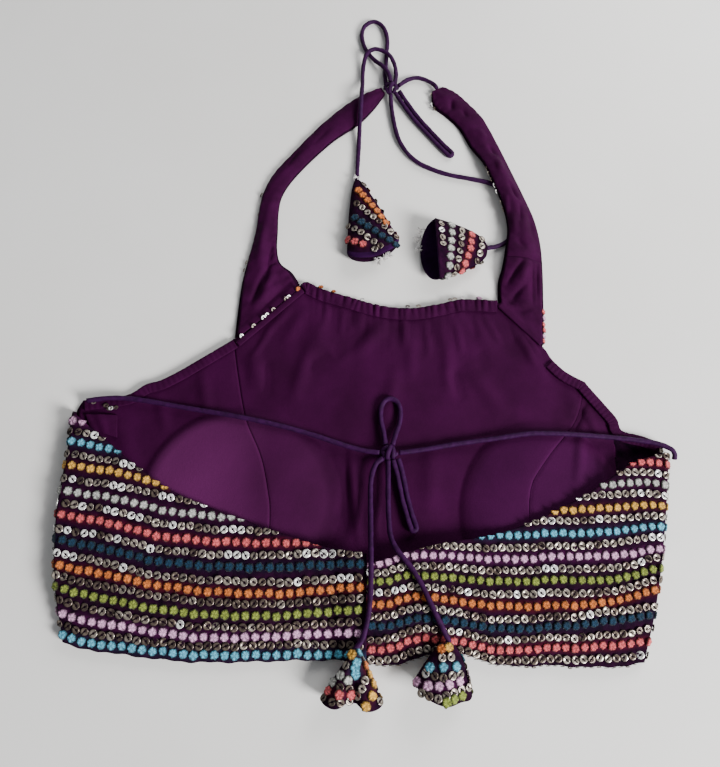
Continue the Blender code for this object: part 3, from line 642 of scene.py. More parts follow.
def thread_material(name, colour):
    """Fluffy embroidery thread: strands run out from the middle of each flower, with painted shade at its rim
    and in its dimpled middle.
    """
    dark = tuple(c * 0.72 for c in colour)
    light = tuple(min(c * 1.25, 1.0) for c in colour)
    made = material(name, dark, light, 0.8, 200.0, (), (("Specular IOR Level", 0.12), ("Sheen Weight", 0.12)))
    tree = made.node_tree
    shader = tree.nodes["Principled BSDF"]
    layer = node(tree, "ShaderNodeUVMap", uv_map="thread")
    turn = node(tree, "ShaderNodeTexGradient", gradient_type="RADIAL")
    inward = node(tree, "ShaderNodeTexGradient", gradient_type="SPHERICAL")
    for gradient in (turn, inward):
        tree.links.new(layer.outputs["UV"], gradient.inputs["Vector"])
    count = node(tree, "ShaderNodeMath", operation="MULTIPLY")
    count.inputs[1].default_value = STRANDS
    tree.links.new(turn.outputs["Fac"], count.inputs[0])
    spread = node(tree, "ShaderNodeCombineXYZ")
    tree.links.new(count.outputs[0], spread.inputs["X"])
    tree.links.new(inward.outputs["Fac"], spread.inputs["Y"])
    strands = node(tree, "ShaderNodeTexNoise", Scale=1.0, Detail=2.0)
    tree.links.new(spread.outputs[0], strands.inputs["Vector"])
    colour_now = shader.inputs["Base Color"].links[0].from_socket
    # Painted shade: the flower darkens towards its rim and in its dimpled middle
    for source, stops in (
        (inward.outputs["Fac"], FLOWER_PAINTED_SHADE),
        (strands.outputs["Fac"], STRAND_TONES),
    ):
        ramp = node(tree, "ShaderNodeValToRGB")
        while len(ramp.color_ramp.elements) < len(stops):
            ramp.color_ramp.elements.new(0.5)
        for element, (position, value) in zip(ramp.color_ramp.elements, stops):
            element.position = position
            element.color = (value, value, value, 1.0)
        mix = node(tree, "ShaderNodeMixRGB", blend_type="MULTIPLY", Fac=1.0)
        tree.links.new(source, ramp.inputs["Fac"])
        tree.links.new(colour_now, mix.inputs["Color1"])
        tree.links.new(ramp.outputs["Color"], mix.inputs["Color2"])
        colour_now = mix.outputs["Color"]
    tree.links.new(colour_now, shader.inputs["Base Color"])
    bumped = node(tree, "ShaderNodeBump", Strength=1.0, Distance=0.0005)
    tree.links.new(strands.outputs["Fac"], bumped.inputs["Height"])
    tree.links.new(bumped.outputs["Normal"], shader.inputs["Normal"])
    return made


def make_materials():
    """All finishes of the garment; the lining and the embroidered panels take a colour layer too, which on
    the lining is painted light over the cups.
    """
    made = {}
    for name, row in FINISHES.items():
        made[name] = material(name, *Finish(*row))
    for name in ("lining", "rows"):
        stitched(made[name])
    for name, colour in THREADS.items():
        made[name] = thread_material("thread_" + name, colour)
    return made


def add_piece(name, points, faces, finish, other=None):
    """Object of points in millimetres, riding on the garment's one body."""
    data = bpy.data.meshes.new(name)
    points = (np.asarray(points, dtype=float) - np.array(MIDDLE)) * MM
    data.from_pydata(points.tolist(), [], faces)
    data.polygons.foreach_set("use_smooth", [True] * len(data.polygons))
    data.materials.append(FINISH[finish])
    if other:
        data.materials.append(FINISH[other])
    thing = bpy.data.objects.new(name, data)
    bpy.context.scene.collection.objects.link(thing)
    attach(thing, "root")
    return thing


def grid_faces(nu, nv, closed=False):
    """Quads of a grid of nu by nv points."""
    last = nu if closed else nu - 1
    return [
        (i * nv + j, (i + 1) % nu * nv + j, (i + 1) % nu * nv + j + 1, i * nv + j + 1)
        for i in range(last) for j in range(nv - 1)
    ]


def ring_faces(first, rings, sides):
    """Quads between rings of points that follow each other."""
    return [
        (a + k, a + sides + k, a + sides + (k + 1) % sides, a + (k + 1) % sides)
        for a in range(first, first + rings * sides, sides) for k in range(sides)
    ]


def shell(name, grid, wall, finish, offset=1.0, closed=False, other=None):
    """Thin cloth on a grid of points: offset 1 grows it along the grid's normals, -1 against them.

    The other finish, where there is one, is for the face that stays on the grid."""
    nu, nv, _ = grid.shape
    thing = add_piece(name, grid.reshape(-1, 3), grid_faces(nu, nv, closed), finish, other)
    wall_modifier = thing.modifiers.new("wall", "SOLIDIFY")
    wall_modifier.thickness = wall * MM
    wall_modifier.offset = offset
    if other:
        wall_modifier.material_offset = 1
    return thing


def normals_of(grid, closed=False):
    """Unit normals of a grid, along u cross v."""
    du = np.roll(grid, -1, 0) - np.roll(grid, 1, 0) if closed else np.gradient(grid, axis=0)
    normal = np.cross(du, np.gradient(grid, axis=1))
    return normal / np.maximum(np.linalg.norm(normal, axis=2, keepdims=True), 1e-9)


def sample(grid, path):
    """Values of a grid at fractional places, as rows; past its far edge it runs straight on."""
    path = np.asarray(path, dtype=float)
    i = np.clip(path[:, 0], 0, grid.shape[0] - 1.001)
    a, b = i.astype(int), np.clip(path[:, 1].astype(int), 0, grid.shape[1] - 2)
    f, g = (i - a)[:, None], (path[:, 1] - b)[:, None]
    return (grid[a, b] * (1 - f) * (1 - g) + grid[a + 1, b] * f * (1 - g)
            + grid[a, b + 1] * (1 - f) * g + grid[a + 1, b + 1] * f * g)


Frame = namedtuple("Frame", "place ahead up cut")


def stations(grid, normals, path, pitch, start):
    """Frames along a line across a grid, one each pitch, with the cut edge of the cloth there."""
    rim = [(i, grid.shape[1] - 1) for i, _ in path]
    at, up, end = sample(grid, path), sample(normals, path), sample(grid, rim)
    out = end - sample(grid, [(i, j - 1) for i, j in rim])
    out /= np.linalg.norm(out, axis=1, keepdims=True)
    run = run_of(at)
    goals = np.arange(start, run[-1] - 0.3 * pitch, pitch)
    ahead = points_at(at, run, goals + 0.8) - points_at(at, run, goals - 0.8)
    place, up, end, out = (points_at(rows, run, goals) for rows in (at, up, end, out))
    return [Frame(*rows[:3], rows[3:]) for rows in zip(place, ahead, up, end, out)]


class Stitches:
    """Thread flowers and sequins gathered by finish, then made into one mesh of each."""

    def __init__(self):
        self.items = {}

    def add(self, finish, frame, size=1.0, spin=0.0, tilt=0.0):
        self.items.setdefault(finish, []).append((frame, size, spin, tilt))

    def sequin(self, finish, frame, size=1.0):
        """One sequin with the thread that holds it."""
        self.add(finish, frame, size * rng.uniform(0.94, 1.05), rng.uniform(0, 6.28), rng.uniform(-0.3, 0.3))
        self.add("tie", frame, size, rng.choice((0.8, -0.8)) + rng.uniform(-0.3, 0.3))

    def row(self, kind, frames, shine, size=1.0):
        """One embroidered row at the given frames."""
        for frame in frames:
            if kind == "sequin":
                x, y, _ = frame.place
                # Painted glint: each sequin is painted bright, middling or dim, by chance and by a patchy
                # wave over the panel
                luck = 0.55 * rng.random() + 0.225 * (1 + math.sin(x / 9.0 + 5.0 * math.sin(y / 3.0)))
                shade = "bright" if luck < shine[0] else "middle" if luck < sum(shine) else "dim"
                self.sequin("sequin_" + shade, frame, size)
            else:
                self.add(kind, frame, size * rng.uniform(0.95, 1.06), rng.uniform(-0.5, 0.5))

    def build(self, prefix, floor=False):
        """One object of each finish, pressed flat where it would reach into the floor."""
        made = []
        for finish, items in self.items.items():
            form = "sequin" if finish.startswith("sequin") else "tie" if finish == "tie" else "flower"
            points, faces, marks = [], [], []
            for number, (frame, size, spin, tilt) in enumerate(items):
                shape, polygons, thread = FORMS[form][number % len(FORMS[form])]
                up = np.asarray(frame.up) / np.linalg.norm(frame.up)
                side = np.cross(up, frame.ahead)
                side /= max(np.linalg.norm(side), 1e-9)
                ahead = np.cross(side, up)
                turned = ahead * math.cos(spin) + side * math.sin(spin)
                across = np.cross(up, turned)
                leaned = up * math.cos(tilt) + turned * math.sin(tilt)
                turned = turned * math.cos(tilt) - up * math.sin(tilt)
                spots = frame.place + (shape * size) @ np.stack([turned, across, leaned])
                if frame.cut is not None:
                    end, out = frame.cut
                    spots -= np.maximum((spots - end) @ out, 0.0)[:, None] * out
                faces += [tuple(v + len(points) for v in polygon) for polygon in polygons]
                points += list(spots)
                marks += thread
            if floor:
                points = [(x, y, max(z, FLOOR_SPARE)) for x, y, z in points]
            thing = add_piece(prefix + "_" + finish, points, faces, finish)
            if form == "flower":
                layer = thing.data.uv_layers.new(name="thread")
                corners = np.empty(len(thing.data.loops), dtype=int)
                thing.data.loops.foreach_get("vertex_index", corners)
                layer.data.foreach_set("uv", np.array(marks)[corners].ravel())
            made.append(thing)
        return made


# Rings of the two stitches from the middle out: share of the half size, height, and how lobed or
# uneven the ring is
FLOWER_RINGS = ((0.30, 1.15, 0.4), (0.60, 1.25, 1.0), (0.86, 0.85, 1.0), (1.0, 0.2, 0.6), (0.95, -0.3, 0))
SEQUIN_RINGS = ((0.30, 0.22, 0), (0.62, 0.38, 0), (1.0, 0.85, 0.02), (0.97, 0.62, 0.02))


def flower_form(petals, seed):
    """Thread flower: a plump dome of satin stitch lobes with ragged ends."""
    luck = random.Random(seed)
    sides = 24
    ragged = [luck.uniform(-0.16, 0.06) for _ in range(sides)]
    points, marks = [(0, 0, 0.8)], [(0.0, 0.0)]
    for reach, high, lobed in FLOWER_RINGS:
        for k in range(sides):
            angle = 2 * math.pi * k / sides
            lobe = math.cos(petals * angle + seed) * lobed
            r = FLOWER * reach * (1 + (0.06 * lobe + ragged[k] if reach > 0.8 else 0.0))
            points.append((r * math.cos(angle), r * math.sin(angle), high + 0.20 * lobe))
            marks.append((reach * math.cos(angle), reach * math.sin(angle)))
    faces = [(0, 1 + k, 1 + (k + 1) % sides) for k in range(sides)]
    return np.array(points), faces + ring_faces(1, len(FLOWER_RINGS) - 1, sides), marks


def sequin_form(seed):
    """Cup sequin: a shallow faceted ring round its hole."""
    luck = random.Random(seed)
    sides = 14
    points = []
    for reach, high, uneven in SEQUIN_RINGS:
        for k in range(sides):
            angle = 2 * math.pi * k / sides
            r = SEQUIN * reach * (1 + (uneven * luck.uniform(-1, 1) if uneven else 0))
            points.append((r * math.cos(angle), r * math.sin(angle), high + 0.10 * luck.uniform(-1, 1)))
    return np.array(points), ring_faces(0, len(SEQUIN_RINGS) - 1, sides), []


def tie_form():
    """Thread across a sequin, over its rim and down its hole."""
    points = []
    for x, z in ((-2.95, 0.1), (-2.5, 0.95), (0.0, 0.45), (2.5, 0.95), (2.95, 0.1)):
        points += [(x, -0.27, z), (x, 0.27, z)]
    faces = [(2 * k, 2 * k + 2, 2 * k + 3, 2 * k + 1) for k in range(4)]
    return np.array(points), faces, []


FORMS = {
    "flower": [flower_form(petals, seed) for petals, seed in ((5, 1), (6, 2), (5, 3), (4, 4))],
    "sequin": [sequin_form(seed) for seed in (1, 2, 3)],
    "tie": [tie_form()],
}


def make_camera():
    """Camera at the photograph's place."""
    data = bpy.data.cameras.new("photo_camera")
    data.sensor_width = 36.0
    data.sensor_fit = "AUTO"
    data.lens = 36.0 * PHOTO_WIDTH / PHOTO_HEIGHT
    data.clip_start = 0.01
    camera = bpy.data.objects.new("photo_camera", data)
    down = math.radians(CAMERA_DOWN)
    camera.location = LOOK_AT + Vector((0.0, -CAMERA_HEIGHT / math.tan(down), CAMERA_HEIGHT))
    camera.rotation_euler = (math.radians(90.0) - down, 0.0, 0.0)
    bpy.context.scene.collection.objects.link(camera)
    bpy.context.scene.camera = camera


def cord_line(route):
    """Even fine points of a cord's middle line."""
    line = np.array(edge(route, steps=12))
    run = run_of(line)
    count = round(run[-1] / CORD_GRAIN)
    return points_at(line, run, np.linspace(0, run[-1], count + 1)), float(run[-1])


def tube(name, line, radius, finish, seed=0, sides=14, flat=0.94):
    """Fabric tube along a line: a little uneven, with its seam as a low ridge on one side."""
    luck = random.Random(seed)
    phases = [luck.uniform(0, 6.28) for _ in range(3)]
    ahead = np.gradient(line, axis=0)
    ahead /= np.linalg.norm(ahead, axis=1, keepdims=True)
    up = np.array([0.0, 0.0, 1.0])
    side = np.cross(ahead, up)
    side /= np.maximum(np.linalg.norm(side, axis=1, keepdims=True), 1e-6)
    top = np.cross(side, ahead)
    run = run_of(line)
    grid = np.empty((sides, len(line), 3))
    for k in range(sides):
        angle = 2 * math.pi * k / sides
        wrinkle = WRINKLES[0] * np.sin(run / 2.1 + 2 * angle + phases[0])
        wrinkle += WRINKLES[1] * np.sin(run / 0.83 - angle + phases[1])
        drift = WRINKLES[2] * np.sin(run / 7.3 + phases[2])
        seam = CORD_SEAM * math.exp(-((angle - 2.2) / 0.35) ** 2)
        r = radius * (1 + wrinkle + drift + seam)
        grid[k] = line + (r * math.cos(angle))[:, None] * side + (r * flat * math.sin(angle))[:, None] * top
    points = np.concatenate([grid.reshape(-1, 3), line[:1], line[-1:]])
    faces = grid_faces(sides, len(line), closed=True)
    n, last = len(line), sides * len(line)
    faces += [(k * n, last, (k + 1) % sides * n) for k in range(sides)]
    faces += [(k * n + n - 1, (k + 1) % sides * n + n - 1, last + 1) for k in range(sides)]
    return add_piece(name, points, faces, finish)


def make_knot(name, place, turns, replaced):
    """Bow knot: the wrap over the middle and the two bights pulled through it."""
    objects = []
    for number, (route, radius) in enumerate(turns):
        line = np.array(edge([tuple(p + c for p, c in zip(place, point)) for point in route], steps=10))
        turn = tube(f"{name}_{number}", line, radius, "cord", seed=number, sides=12, flat=0.9)
        objects.append(turn)
    first = joined(name, objects)
    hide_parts(replaced)
    return first


def joined(name, objects):
    """One object of several."""
    with bpy.context.temp_override(active_object=objects[0], selected_editable_objects=objects):
        bpy.ops.object.join()
    objects[0].name = name
    return objects[0]


# How far each tail runs on inside its tassel
CORD_INSIDE = 6.0

# Turns of cord that make each bow's knot, round its middle: a route and its half thickness
BACK_TURNS = (
    (((-0.6, -4.4, 0.2), (-1.4, -3.2, 2.3), (-0.6, 0.2, 3.4), (0.9, 3.4, 2.2), (0.8, 4.4, 0.2),
      (0.4, 3.0, -1.6)), 1.7),
    (((2.2, -3.9, -0.4), (2.6, -2.4, 1.6), (2.9, 0.2, 2.3), (2.4, 2.9, 1.4), (1.6, 4.0, -0.2)), 1.6),
    (((-5.2, 0.6, -0.4), (-3.6, -1.2, 1.0), (-2.8, -3.4, 0.6), (-1.2, -4.3, -0.6)), 1.6),
    (((-4.9, 0.4, 0.0), (-3.6, 2.2, 0.8), (-1.8, 3.6, 0.6), (0.2, 4.2, -0.6)), 1.6),
    (((5.2, 0.2, -0.2), (3.8, -1.6, -0.4), (1.8, -3.8, -1.0), (0.0, -4.2, -1.0)), 1.6),
)
NECK_TURNS = (
    (((-0.8, -4.4, -0.4), (-1.2, -2.8, 1.9), (0.0, 0.4, 3.0), (1.2, 3.2, 2.0), (1.2, 4.4, -0.4)), 1.7),
    (((-5.0, 0.6, -0.8), (-3.6, 2.6, 0.4), (-1.8, 3.6, 0.4), (0.0, 4.2, -0.8)), 1.6),
    (((-4.9, 0.2, -0.8), (-3.4, -1.8, 0.8), (-2.6, -3.6, 0.4), (-1.0, -4.2, -0.8)), 1.6),
    (((5.2, 0.4, -0.6), (3.6, -1.4, 1.2), (2.6, -3.4, 0.9), (1.4, -4.4, -0.4)), 1.6),
    (((4.8, 0.8, -0.8), (3.4, 2.6, 0.6), (2.2, 3.9, -0.6)), 1.6),
)


def make_cords():
    """Drawstrings: leads, loops and tails, each a tube."""
    made, lengths = {}, {}
    routes = dict(CORD_ROUTES)
    routes.update({name: there_and_back(middle, LOOP_SNUG) for name, middle in FOLDED_LOOPS.items()})
    for tail, tassel in TASSELS.items():
        apex = Vector(tassel.apex)
        inside = apex + (Vector(tassel.mouth) - apex).normalized() * CORD_INSIDE
        routes[tail.replace("_", "_tail_")] += (tuple(inside),)
    for number, (name, route) in enumerate(sorted(routes.items())):
        line, lengths[name] = cord_line(route)
        made[name] = (tube("dori_" + name, line, CORD / 2, "cord", seed=number), line)
        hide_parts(name)
    return made, lengths


def declare_cords(made):
    """Goes through the cords and does nothing with them."""
    for name, (piece, line) in made.items():
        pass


# Columns of a back panel's grid before its side fold and in it, its steps from hem to top, where its
# rows start, how far one may run past the cut edge and how wide a thread's colour reaches
MAIN_COLUMNS, FOLD_COLUMNS, BACK_STEPS = 130, 10, 72
ROW_START = 2.9
PAST_EDGE = 2.2
HALO_REACH = 3.4

# Unevenness of the back panels' face and hem, and the left corner's tip with its reach sideways and up
BACK_RIPPLES = (0.28, 0.16)
HEM_RIPPLES = (0.35, 0.3)
CORNER_TIP = (-203.0, -60.0)
CORNER_REACH = (4.0, 4.2)

# Small sequins on the turn of the right hem: pitch, start, place off the hem and size
HEM_PITCH, HEM_START, HEM_DROP, HEM_SIZE = 4.6, 2.0, (0.0, -0.1, -0.9), 0.55


def back_grid(side):
    """Fine outer face of a back panel, from the centre to the side and from the hem up."""
    sections = BACK_LEFT if side == "left" else BACK_RIGHT
    share = SIDE_FOLD / abs(sections[-1][2] - sections[0][2])
    columns = [((1.0 - share) * i / MAIN_COLUMNS, 1.0) for i in range(MAIN_COLUMNS + 1)]
    for k in range(1, FOLD_COLUMNS + 1):
        angle = math.pi / 2 * (1 - k / FOLD_COLUMNS)
        columns.append((1.0 - share * (1.0 - math.cos(angle)), math.sin(angle)))
    grid = np.array([
        [back_surface(sections, s, v / BACK_STEPS, high, side == "left") for v in range(BACK_STEPS + 1)]
        for s, high in columns
    ])
    x, y = grid[..., 0], grid[..., 1]
    fade = np.array([high for _, high in columns])[:, None] ** 2
    ripple = BACK_RIPPLES[0] * np.sin(x / 7.1 + y / 19.0) * np.sin(y / 11.3 - x / 31.0)
    grid[..., 2] += (ripple + BACK_RIPPLES[1] * np.sin(x / 3.7 - y / 6.1)) * fade
    hem = np.linspace(1, 0, grid.shape[1]) ** 10
    grid[..., 1] += hem * (HEM_RIPPLES[0] * np.sin(x / 4.3) + HEM_RIPPLES[1] * np.sin(x / 1.9 + 1.0))
    if side == "left":
        near = np.exp(-((y - CORNER_TIP[1]) / 18.0) ** 2) * np.clip((x + 185.0) / -18.0, 0, 1) ** 1.5
        grid[..., 0] -= CORNER_REACH[0] * near
        grid[..., 1] += CORNER_REACH[1] * near
    return grid


def arcs(grid):
    """Distance from the hem along the cloth at every point of a back panel's grid."""
    steps = np.linalg.norm(np.diff(grid, axis=1), axis=2)
    return np.concatenate([np.zeros((grid.shape[0], 1)), np.cumsum(steps, axis=1)], axis=1)


def row_path(grid, distances):
    """Fractional places of a row across a back panel; it may run a little past the cut top edge."""
    arc = arcs(grid)
    last = grid.shape[1] - 1
    ends = np.linspace(0, 1, len(distances))
    path = []
    for i in range(1, grid.shape[0] - 1):
        goal = np.interp(min(i / MAIN_COLUMNS, 1.0), ends, distances)
        past = goal - arc[i, -1]
        if past < PAST_EDGE:
            step = arc[i, -1] - arc[i, -2]
            path.append((i, last + past / step if past > 0 else np.interp(goal, arc[i], np.arange(last + 1))))
    return path


def tint(thing, layers):
    """Colour layer of a cloth: its ground changes with the threads near each point, and on the lining with
    the painted light over the cups.
    """
    colours = np.zeros((len(thing.data.vertices), 4))
    for kind, near in layers:
        *colour, weight = THREAD_TINT_AND_CUP_LIGHT[kind]
        colours[:, :3] += near.reshape(-1, 1) * np.array(colour)
        colours[:, 3] += near.ravel() * weight
    colours[:, :3] /= np.maximum(colours[:, 3:], 0.3)
    layer = thing.data.color_attributes.new("tint_and_cup_light", "FLOAT_COLOR", "POINT")
    layer.data.foreach_set("color", np.clip(colours, 0, 1).ravel())


def near_rows(grid, rows):
    """How near each point of a back panel is to each row of thread."""
    arc = arcs(grid)
    station = np.minimum(np.arange(grid.shape[0]) / MAIN_COLUMNS, 1.0)
    for kind, *distances in rows:
        if kind in THREAD_TINT_AND_CUP_LIGHT:
            goal = np.interp(station, np.linspace(0, 1, len(distances)), distances)[:, None]
            yield kind, np.exp(-((arc - goal) / HALO_REACH) ** 2) * (goal < arc[:, -1:] + PAST_EDGE)


def make_back():
    """Back panels with their embroidery."""
    for side, rows in (("left", ROWS_LEFT), ("right", ROWS_RIGHT)):
        grid = back_grid(side)
        sign = -1.0 if side == "left" else 1.0
        ups = normals_of(grid) * sign
        panel = shell("panel_back_" + side, grid, BACK_WALL, "rows", offset=-sign)
        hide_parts("back_" + side)
        tint(panel, near_rows(grid, rows))
        stitches = Stitches()
        for number, (kind, *distances) in enumerate(rows):
            path = row_path(grid, distances)
            pitch = (SEQUIN_PITCH if kind == "sequin" else FLOWER_PITCH)[side]
            breaks = np.where(np.diff([i for i, _ in path]) > 1)[0] + 1
            for run in np.split(np.array(path), breaks):
                if len(run) < 4:
                    continue
                frames = stations(grid, ups, run, pitch, ROW_START + rng.uniform(0, 1.5))
                stitches.row(kind, frames, SHINE[side][number >= UPPER_ROWS], STITCH_SIZE[side])
        if side == "right":
            hem = [(i, 0.0) for i in range(3, MAIN_COLUMNS)]
            for frame in stations(grid, ups, hem, HEM_PITCH, HEM_START):
                out = np.array((0.0, -1.0, 0.15))
                # The hem's small sequins are painted dim, with no glint
                stitches.sequin("sequin_dim", Frame(frame.place + HEM_DROP, frame.ahead, out, None), HEM_SIZE)
        parts = stitches.build("stitch_back_" + side)
        declare(panel, parts)


# Cut of each cloth piece that shows: width and length in metres, area in square metres, how it is
# held and what it rests on
Sheet = namedtuple("Sheet", "width length area held base")


# Stitches of the hidden faces that show at the cloth's edges, by the piece they are sewn to: the way
# they face, how far above its underside they sit, and each one's thread, or its sequin by its painted glint,
# and plan place.
# A stitch stays within EDGE_REACH of its piece.
EDGE_BITS = {
    "strap_outer_left": ((-0.8, 0.1, 0.6), 1.3, (
        ("dim", -83.5, 120), ("bright", -83, 111.5), ("dim", -83, 103),
        ("dim", -82.5, 95), ("middle", -83.5, 87.5), ("dim", -85, 82),
        ("middle", -85.5, 77.5), ("bright", -87, 71.5), ("dim", -88.5, 67),
        ("middle", -89.5, 64), ("middle", -91.5, 61.5), ("dim", -93, 55),
    )),
    "root_seam_left": ((0.5, -0.55, 0.7), 1.3, (
        ("bright", -93, 2), ("middle", -84.5, 9.5), ("bright", -77, 15.5),
        ("bright", -75.5, 19), ("middle", -70, 22), ("middle", -61.5, 31.5),
        ("bright", -60, 33.5), ("orange", -53.5, 39.5),
    )),
    "strap_outer_right": ((0.7, 0.0, 0.7), 1.3, (
        ("middle", 52.5, 214), ("bright", 52.5, 204.5), ("dim", 53.5, 199.5),
        ("dim", 93, 141), ("middle", 94, 136.5), ("dim", 95, 131),
        ("bright", 98, 125.5), ("bright", 99, 120), ("middle", 101, 110),
        ("dim", 103.5, 104), ("coral", 129, 21), ("pink", 129, 16), ("coral", 128.5, 11),
        ("coral", 128.5, 6.5), ("pink", 128, 1.5), ("coral", 127.5, -2), ("bright", 127, -7),
    )),
    "neck_binding": ((0.0, 0.6, 0.8), 0.6, (
        ("orange", -34, 41.5), ("orange", -25, 38), ("bright", -4, 30.5), ("dim", 29, 25),
        ("middle", 37, 25.5), ("middle", 60.5, 29), ("middle", 64, 30.5),
        ("bright", 69.5, 32), ("pink", 82, 31.5),
    )),
    "armhole_binding_left": ((0.0, 0.3, 0.9), 1.4, (
        ("middle", -193, -49.5), ("dim", -184, -52), ("bright", -180.5, -54),
        ("dim", -177, -54.5), ("dim", -181.5, -57.5),
    )),
    "armhole_binding_right": ((0.3, 0.3, 0.9), 1.3, (("dim", 202, -85.5), ("middle", 206.5, -86.5))),
    "panel_front_side_left": ((0.0, -0.6, 0.8), 0.6, (("middle", -130, -217), ("bright", -110, -220))),
}
EDGE_REACH = 0.9


def edge_bits(piece):
    """Stitches at the edge of a piece, each brought to the nearest part of it."""
    stitches = Stitches()
    up, lift, bits = EDGE_BITS[piece.name]
    points = np.array([tuple(vertex.co) for vertex in piece.data.vertices]) / MM + np.array(MIDDLE)
    for finish, x, y in bits:
        away = np.array((x, y)) - points[:, :2]
        near = np.hypot(away[:, 0], away[:, 1]).argmin()
        off = away[near] * min(1.0, EDGE_REACH / max(np.hypot(*away[near]), 1e-6))
        place = points[near] + (off[0], off[1], lift)
        frame = Frame(place, np.array((0.3, 1.0, 0.2)), up, None)
        finish = finish if finish in THREADS else "sequin_" + finish
        stitches.add(finish, frame, rng.uniform(0.55, 0.75), rng.uniform(0, 6.28))
    return stitches.build("stitch_edge_" + piece.name, floor=True)


def declare(piece, parts=()):
    """Makes the stitches that show at the edge of a cloth piece."""
    parts = list(parts) + (edge_bits(piece) if piece.name in EDGE_BITS else [])


def coons(edges, nu, nv):
    """Plan points of a panel between its four edges, bottom, top, left and right."""
    lines = []
    for line, count in zip(edges, (nu, nu, nv, nv)):
        line = np.array(line, dtype=float)
        run = run_of(line)
        lines.append(points_at(line, run, np.linspace(0, run[-1], count + 1)))
    bottom, top, left, right = lines
    u = np.linspace(0, 1, nu + 1)[:, None, None]
    v = np.linspace(0, 1, nv + 1)[None, :, None]
    return ((1 - v) * bottom[:, None] + v * top[:, None] + (1 - u) * left[None] + u * right[None]
            - (1 - u) * (1 - v) * bottom[0] - u * (1 - v) * bottom[-1]
            - (1 - u) * v * top[0] - u * v * top[-1])


def raised(plan, height):
    """Plan grid with its heights."""
    z = np.array([[height(x, y) for x, y in row] for row in plan])
    return np.concatenate([plan, z[..., None]], axis=2)


# Steps across and up the front's centre and side panels, and how far its left corner bulges
FRONT_GRIDS = {"front": ((60, 50), (24, 50)), "lining": ((150, 150), (64, 150))}
CORNER_BULGE = 5.5

# Wall of a facing, gap between the lining's panels, depth and half width of the groove at their
# seams, rise and reach of the neck's gathers, gain of the lining's creases and its ripple
FACING_WALL = 0.7
LINING_GAP = 0.06
GROOVE_DEPTH, GROOVE_WIDTH = 0.5, 1.4
GATHER_RISE, GATHER_REACH = 0.6, 40
CREASE_GAIN = 1.5
LINING_RIPPLE = 0.42
NECK_LINE = np.array(NECKLINE, dtype=float)
SEAM_LINES = [np.array(seam, dtype=float)[::-1] for seam in (PRINCESS_LEFT, PRINCESS_RIGHT)]


def neck_gathers(x, y):
    """Uneven gathers that run down from the neckline."""
    below = np.interp(x, NECK_LINE[:, 0], NECK_LINE[:, 1]) - y
    inside = min(x - NECK_LINE[0, 0], NECK_LINE[-1, 0] - x)
    if not -2 < below < GATHER_REACH or inside <= 0:
        return 0.0
    fade = math.exp(-max(below, 0.0) / (13.0 + 6.0 * math.sin(x / 8.0))) * min(inside / 6, 1.0)
    return GATHER_RISE * fade * math.sin(x * 1.05 + 2.2 * math.sin(x / 7.0)) * (0.7 + 0.3 * math.sin(x / 3.1))


def seam_groove(x, y):
    """How far the lining sinks along the princess seams."""
    return sum(
        -GROOVE_DEPTH * math.exp(-((x - np.interp(y, seam[:, 1], seam[:, 0])) / GROOVE_WIDTH) ** 2)
        for seam in SEAM_LINES
    )


def creased(x, y):
    """Underside of the lining with its fine creases."""
    creases = CREASE_GAIN * sum(ridge(x, y, fold) for fold in LINING_CREASES)
    fine = creases + neck_gathers(x, y) + seam_groove(x, y)
    ripple = LINING_RIPPLE * math.sin(x / 9.0 + 2.0 * math.sin(y / 23.0)) * math.sin(y / 17.0 + 1.0)
    return max(lining_under(x, y) + fine + ripple, LINING_Z + 0.05 + cup_rise(x, y, CUP_SPARE) - 0.35)


# Fine creases of the lining: from and to, half width and rise
LINING_CREASES = (
    (-28, 30, -34, 4, 2.2, 0.9), (-18, 28, -20, 0, 1.8, 0.8), (-4, 24, -8, -6, 2.0, 0.8),
    (18, 20, 16, -10, 1.8, 0.8), (26, 18, 27, -4, 1.6, 0.7), (42, 18, 44, -16, 2.0, 0.8),
    (62, 20, 68, -14, 2.0, 0.8), (84, 20, 96, -6, 2.2, 0.9), (-56, 24, -78, 0, 2.4, 0.8),
    (-70, 8, -84, -16, 2.2, 0.8), (110, 2, 120, -22, 2.2, 0.8), (-40, 0, -54, -50, 5.0, 1.2),
    (70, -20, 96, -60, 6.0, 1.2), (20, -20, 12, -70, 5.0, 1.0), (-120, -24, -112, -60, 4.0, 0.9),
    (-150, -42, -140, -70, 4.0, 0.9), (150, -60, 140, -110, 3.5, 1.1), (160, -80, 156, -140, 3.0, 0.9),
    (-12, -90, -6, -150, 2.4, 1.1), (4, -95, 6, -150, 2.0, 0.8), (81.5, -8, 82.5, -25.5, 3, -1.2),
    (60, -23.5, 66, -49, 3.2, -1.2), (55.5, -9.5, 57.5, -43.5, 4, 0.9), (-1, 12, -24.5, -15, 4.5, -1.3),
    (-27.5, -11.5, -45.5, -26.5, 5, -1.1), (-95, -14.5, -88, -46, 2.4, -1.2),
    (-73.5, -17.5, -71.5, -46, 3, -1.2),
    (-84, -9.5, -79.5, -41.5, 4.5, 0.9), (-38.5, 25.5, -34.5, -17.5, 6.5, 1),
    (-16.5, -76.5, -15.5, -144.5, 3.5, -1.2),
    (154, -47.5, 140, -71.5, 2.6, -1.4), (148.5, -44.5, 160.5, -76.5, 3, 0.9),
    (-28, 33.5, -27, 12, 1.5, -0.9),
    (-12.5, 28, -12, 6, 1.4, -0.8), (-44.5, 36, -43.5, 25, 2, -0.9), (-35, 33, -34, 20, 1.3, -0.7),
    (17.5, 20, 16.5, -6, 2.4, -0.9), (26, 17, 26.5, -9.5, 3, 0.9), (44, 17.5, 45.5, -2, 1.8, -0.7),
    (73.5, 21.5, 79.5, -0.5, 2.4, -0.7), (97, 20, 107.5, -6, 2.2, -0.8), (115.5, 6, 120.5, -3.5, 1.5, -0.9),
    (113, 7.5, 123.5, -14.5, 2, 0.8),
)


